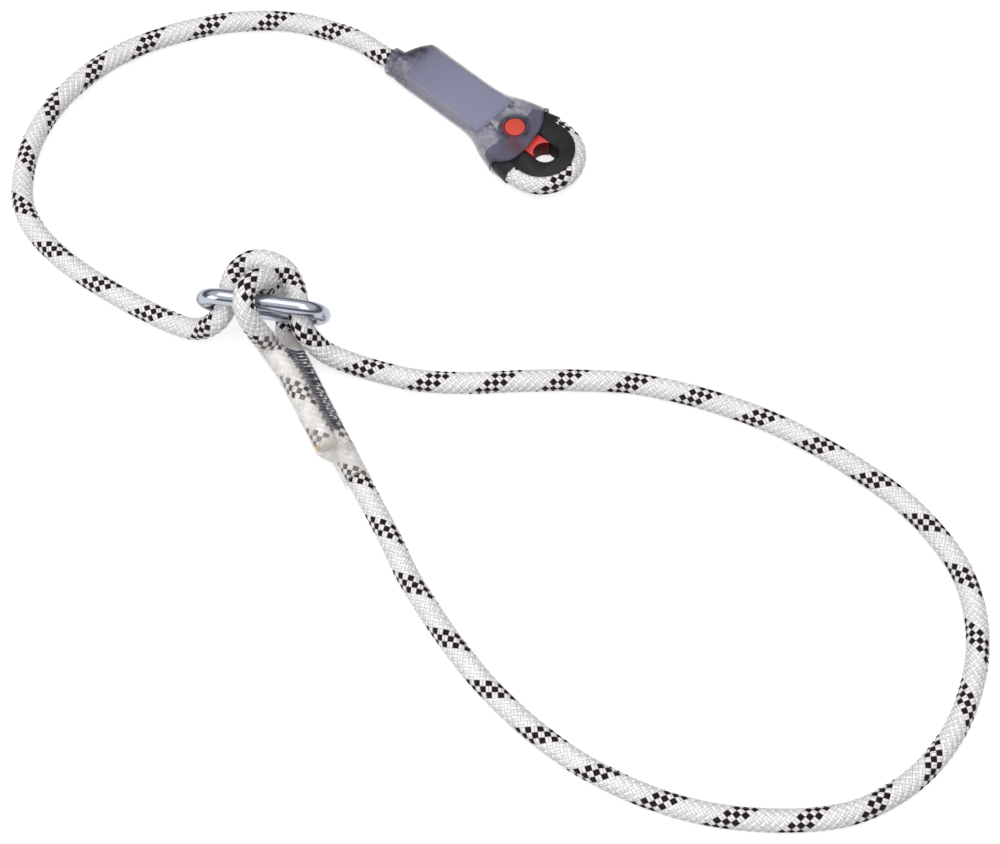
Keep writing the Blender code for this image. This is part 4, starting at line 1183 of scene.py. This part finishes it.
class LANYARD_OT_stage(bpy.types.Operator):
    """Pale floor, soft light and the camera"""
    bl_idname = "lanyard.stage"
    bl_label = "Stage"

    def execute(self, context):
        stage = context.scene.lanyard_stage
        finish, tree, shader = new_finish("matt_paper_floor")
        tree.nodes.remove(shader)
        output = tree.nodes["Material Output"]
        rays = add_node(tree, "LightPath")
        # The paper glows for the camera, in mirrors and through clear pieces, and lights nothing
        seen = maths(tree, "MAXIMUM", rays.outputs["Is Camera Ray"], rays.outputs["Is Glossy Ray"])
        seen = maths(tree, "MAXIMUM", seen, rays.outputs["Is Transmission Ray"])
        lift = maths(tree, "MULTIPLY", seen, PAPER_GLOW)
        paper = add_node(tree, "BsdfDiffuse", {"Color": rgba(stage.floor)})
        glow = add_node(tree, "Emission", {"Color": (1, 1, 1, 1), "Strength": lift})
        both = add_node(tree, "AddShader", {0: paper.outputs[0], 1: glow.outputs[0]})
        feed(tree, output, {"Surface": both.outputs[0]})
        corners = [(x * FLOOR_REACH, y * FLOOR_REACH, 0) for x, y in ((-1, -1), (1, -1), (1, 1), (-1, 1))]
        floor = new_piece("floor", corners, [(0, 1, 2, 3)], finish)
        # Name, place, size in metres, power in watts
        lamps = (("overhead", (-0.15, -0.1, 1.55), 1.1, 6.5), ("front", (0.2, -1.05, 1.5), 1.0, 6.5),
                 ("low_left", (-1.3, -1.0, 0.65), 1.0, 8.0))
        for name, place, size, power in lamps:
            lamp = bpy.data.lights.new(name, "AREA")
            lamp.size = size
            lamp.energy = power
            made = bpy.data.objects.new(name, lamp)
            made.location = place
            aim = Vector(LAMP_AIM) - Vector(place)
            made.rotation_euler = aim.to_track_quat("-Z", "Y").to_euler()
            context.scene.collection.objects.link(made)
        world = bpy.data.worlds.new("soft_studio")
        context.scene.world = world
        world.use_nodes = True
        tree = world.node_tree
        tree.nodes.clear()
        rays = add_node(tree, "LightPath")
        way = add_node(tree, "TexCoord")
        parts = add_node(tree, "SeparateXYZ", {"Vector": way.outputs["Generated"]})
        # A softer, darker band low round the room gives the metal its edges
        room = remap(tree, parts.outputs["Z"], 0.3, 0.65, 0.12, 0.8, soft=True)
        level = number_between(tree, rays.outputs["Is Camera Ray"], room, 1.0)
        light = add_node(tree, "Background", {"Color": (1, 1, 1, 1), "Strength": level})
        end = add_node(tree, "OutputWorld", {"Surface": light.outputs[0]})
        end.is_active_output = True
        lens = bpy.data.cameras.new("camera")
        lens.lens = stage.focal
        lens.sensor_width = 36
        lens.clip_start = 0.01
        camera = bpy.data.objects.new("camera", lens)
        camera.location = CAMERA_PLACE
        camera.rotation_euler = (math.radians(CAMERA_TILT), 0, 0)
        context.scene.collection.objects.link(camera)
        context.scene.camera = camera
        context.scene.view_settings.view_transform = "Standard"
        return {"FINISHED"}


GROUPS = (("lanyard_rope", LanyardRopeSettings), ("lanyard_eye", LanyardEyeSettings),
          ("lanyard_ring", LanyardRingSettings), ("lanyard_sleeve", LanyardSleeveSettings),
          ("lanyard_stage", LanyardStageSettings))
STEPS = (LANYARD_OT_stage, LANYARD_OT_free_rope, LANYARD_OT_sewn_ends, LANYARD_OT_thimble,
         LANYARD_OT_keeper, LANYARD_OT_cover, LANYARD_OT_label, LANYARD_OT_ring, LANYARD_OT_sleeve,
         LANYARD_OT_stitching)


class LANYARD_PT_pieces(bpy.types.Panel):
    """Lists the lanyard's settings and the steps that make it"""
    bl_idname = "LANYARD_PT_pieces"
    bl_label = "Rope lanyard"
    bl_space_type = "VIEW_3D"
    bl_region_type = "UI"
    bl_category = "Lanyard"

    def draw(self, context):
        for name, group in GROUPS:
            box = self.layout.box()
            for setting in group.__annotations__:
                box.prop(getattr(context.scene, name), setting)
        for step in STEPS:
            self.layout.operator(step.bl_idname)


def register():
    for name, group in GROUPS:
        bpy.utils.register_class(group)
        setattr(bpy.types.Scene, name, PointerProperty(type=group))
    for step in (*STEPS, LANYARD_PT_pieces):
        bpy.utils.register_class(step)


def unregister():
    for step in (LANYARD_PT_pieces, *STEPS[::-1]):
        bpy.utils.unregister_class(step)
    for name, group in GROUPS[::-1]:
        delattr(bpy.types.Scene, name)
        bpy.utils.unregister_class(group)


def main():
    register()
    bpy.ops.lanyard.stage()
    bpy.ops.lanyard.free_rope()
    bpy.ops.lanyard.sewn_ends()
    bpy.ops.lanyard.thimble()
    bpy.ops.lanyard.keeper()
    bpy.ops.lanyard.cover()
    bpy.ops.lanyard.label()
    bpy.ops.lanyard.ring()
    bpy.ops.lanyard.sleeve()
    bpy.ops.lanyard.stitching()


if __name__ == "__main__":
    main()
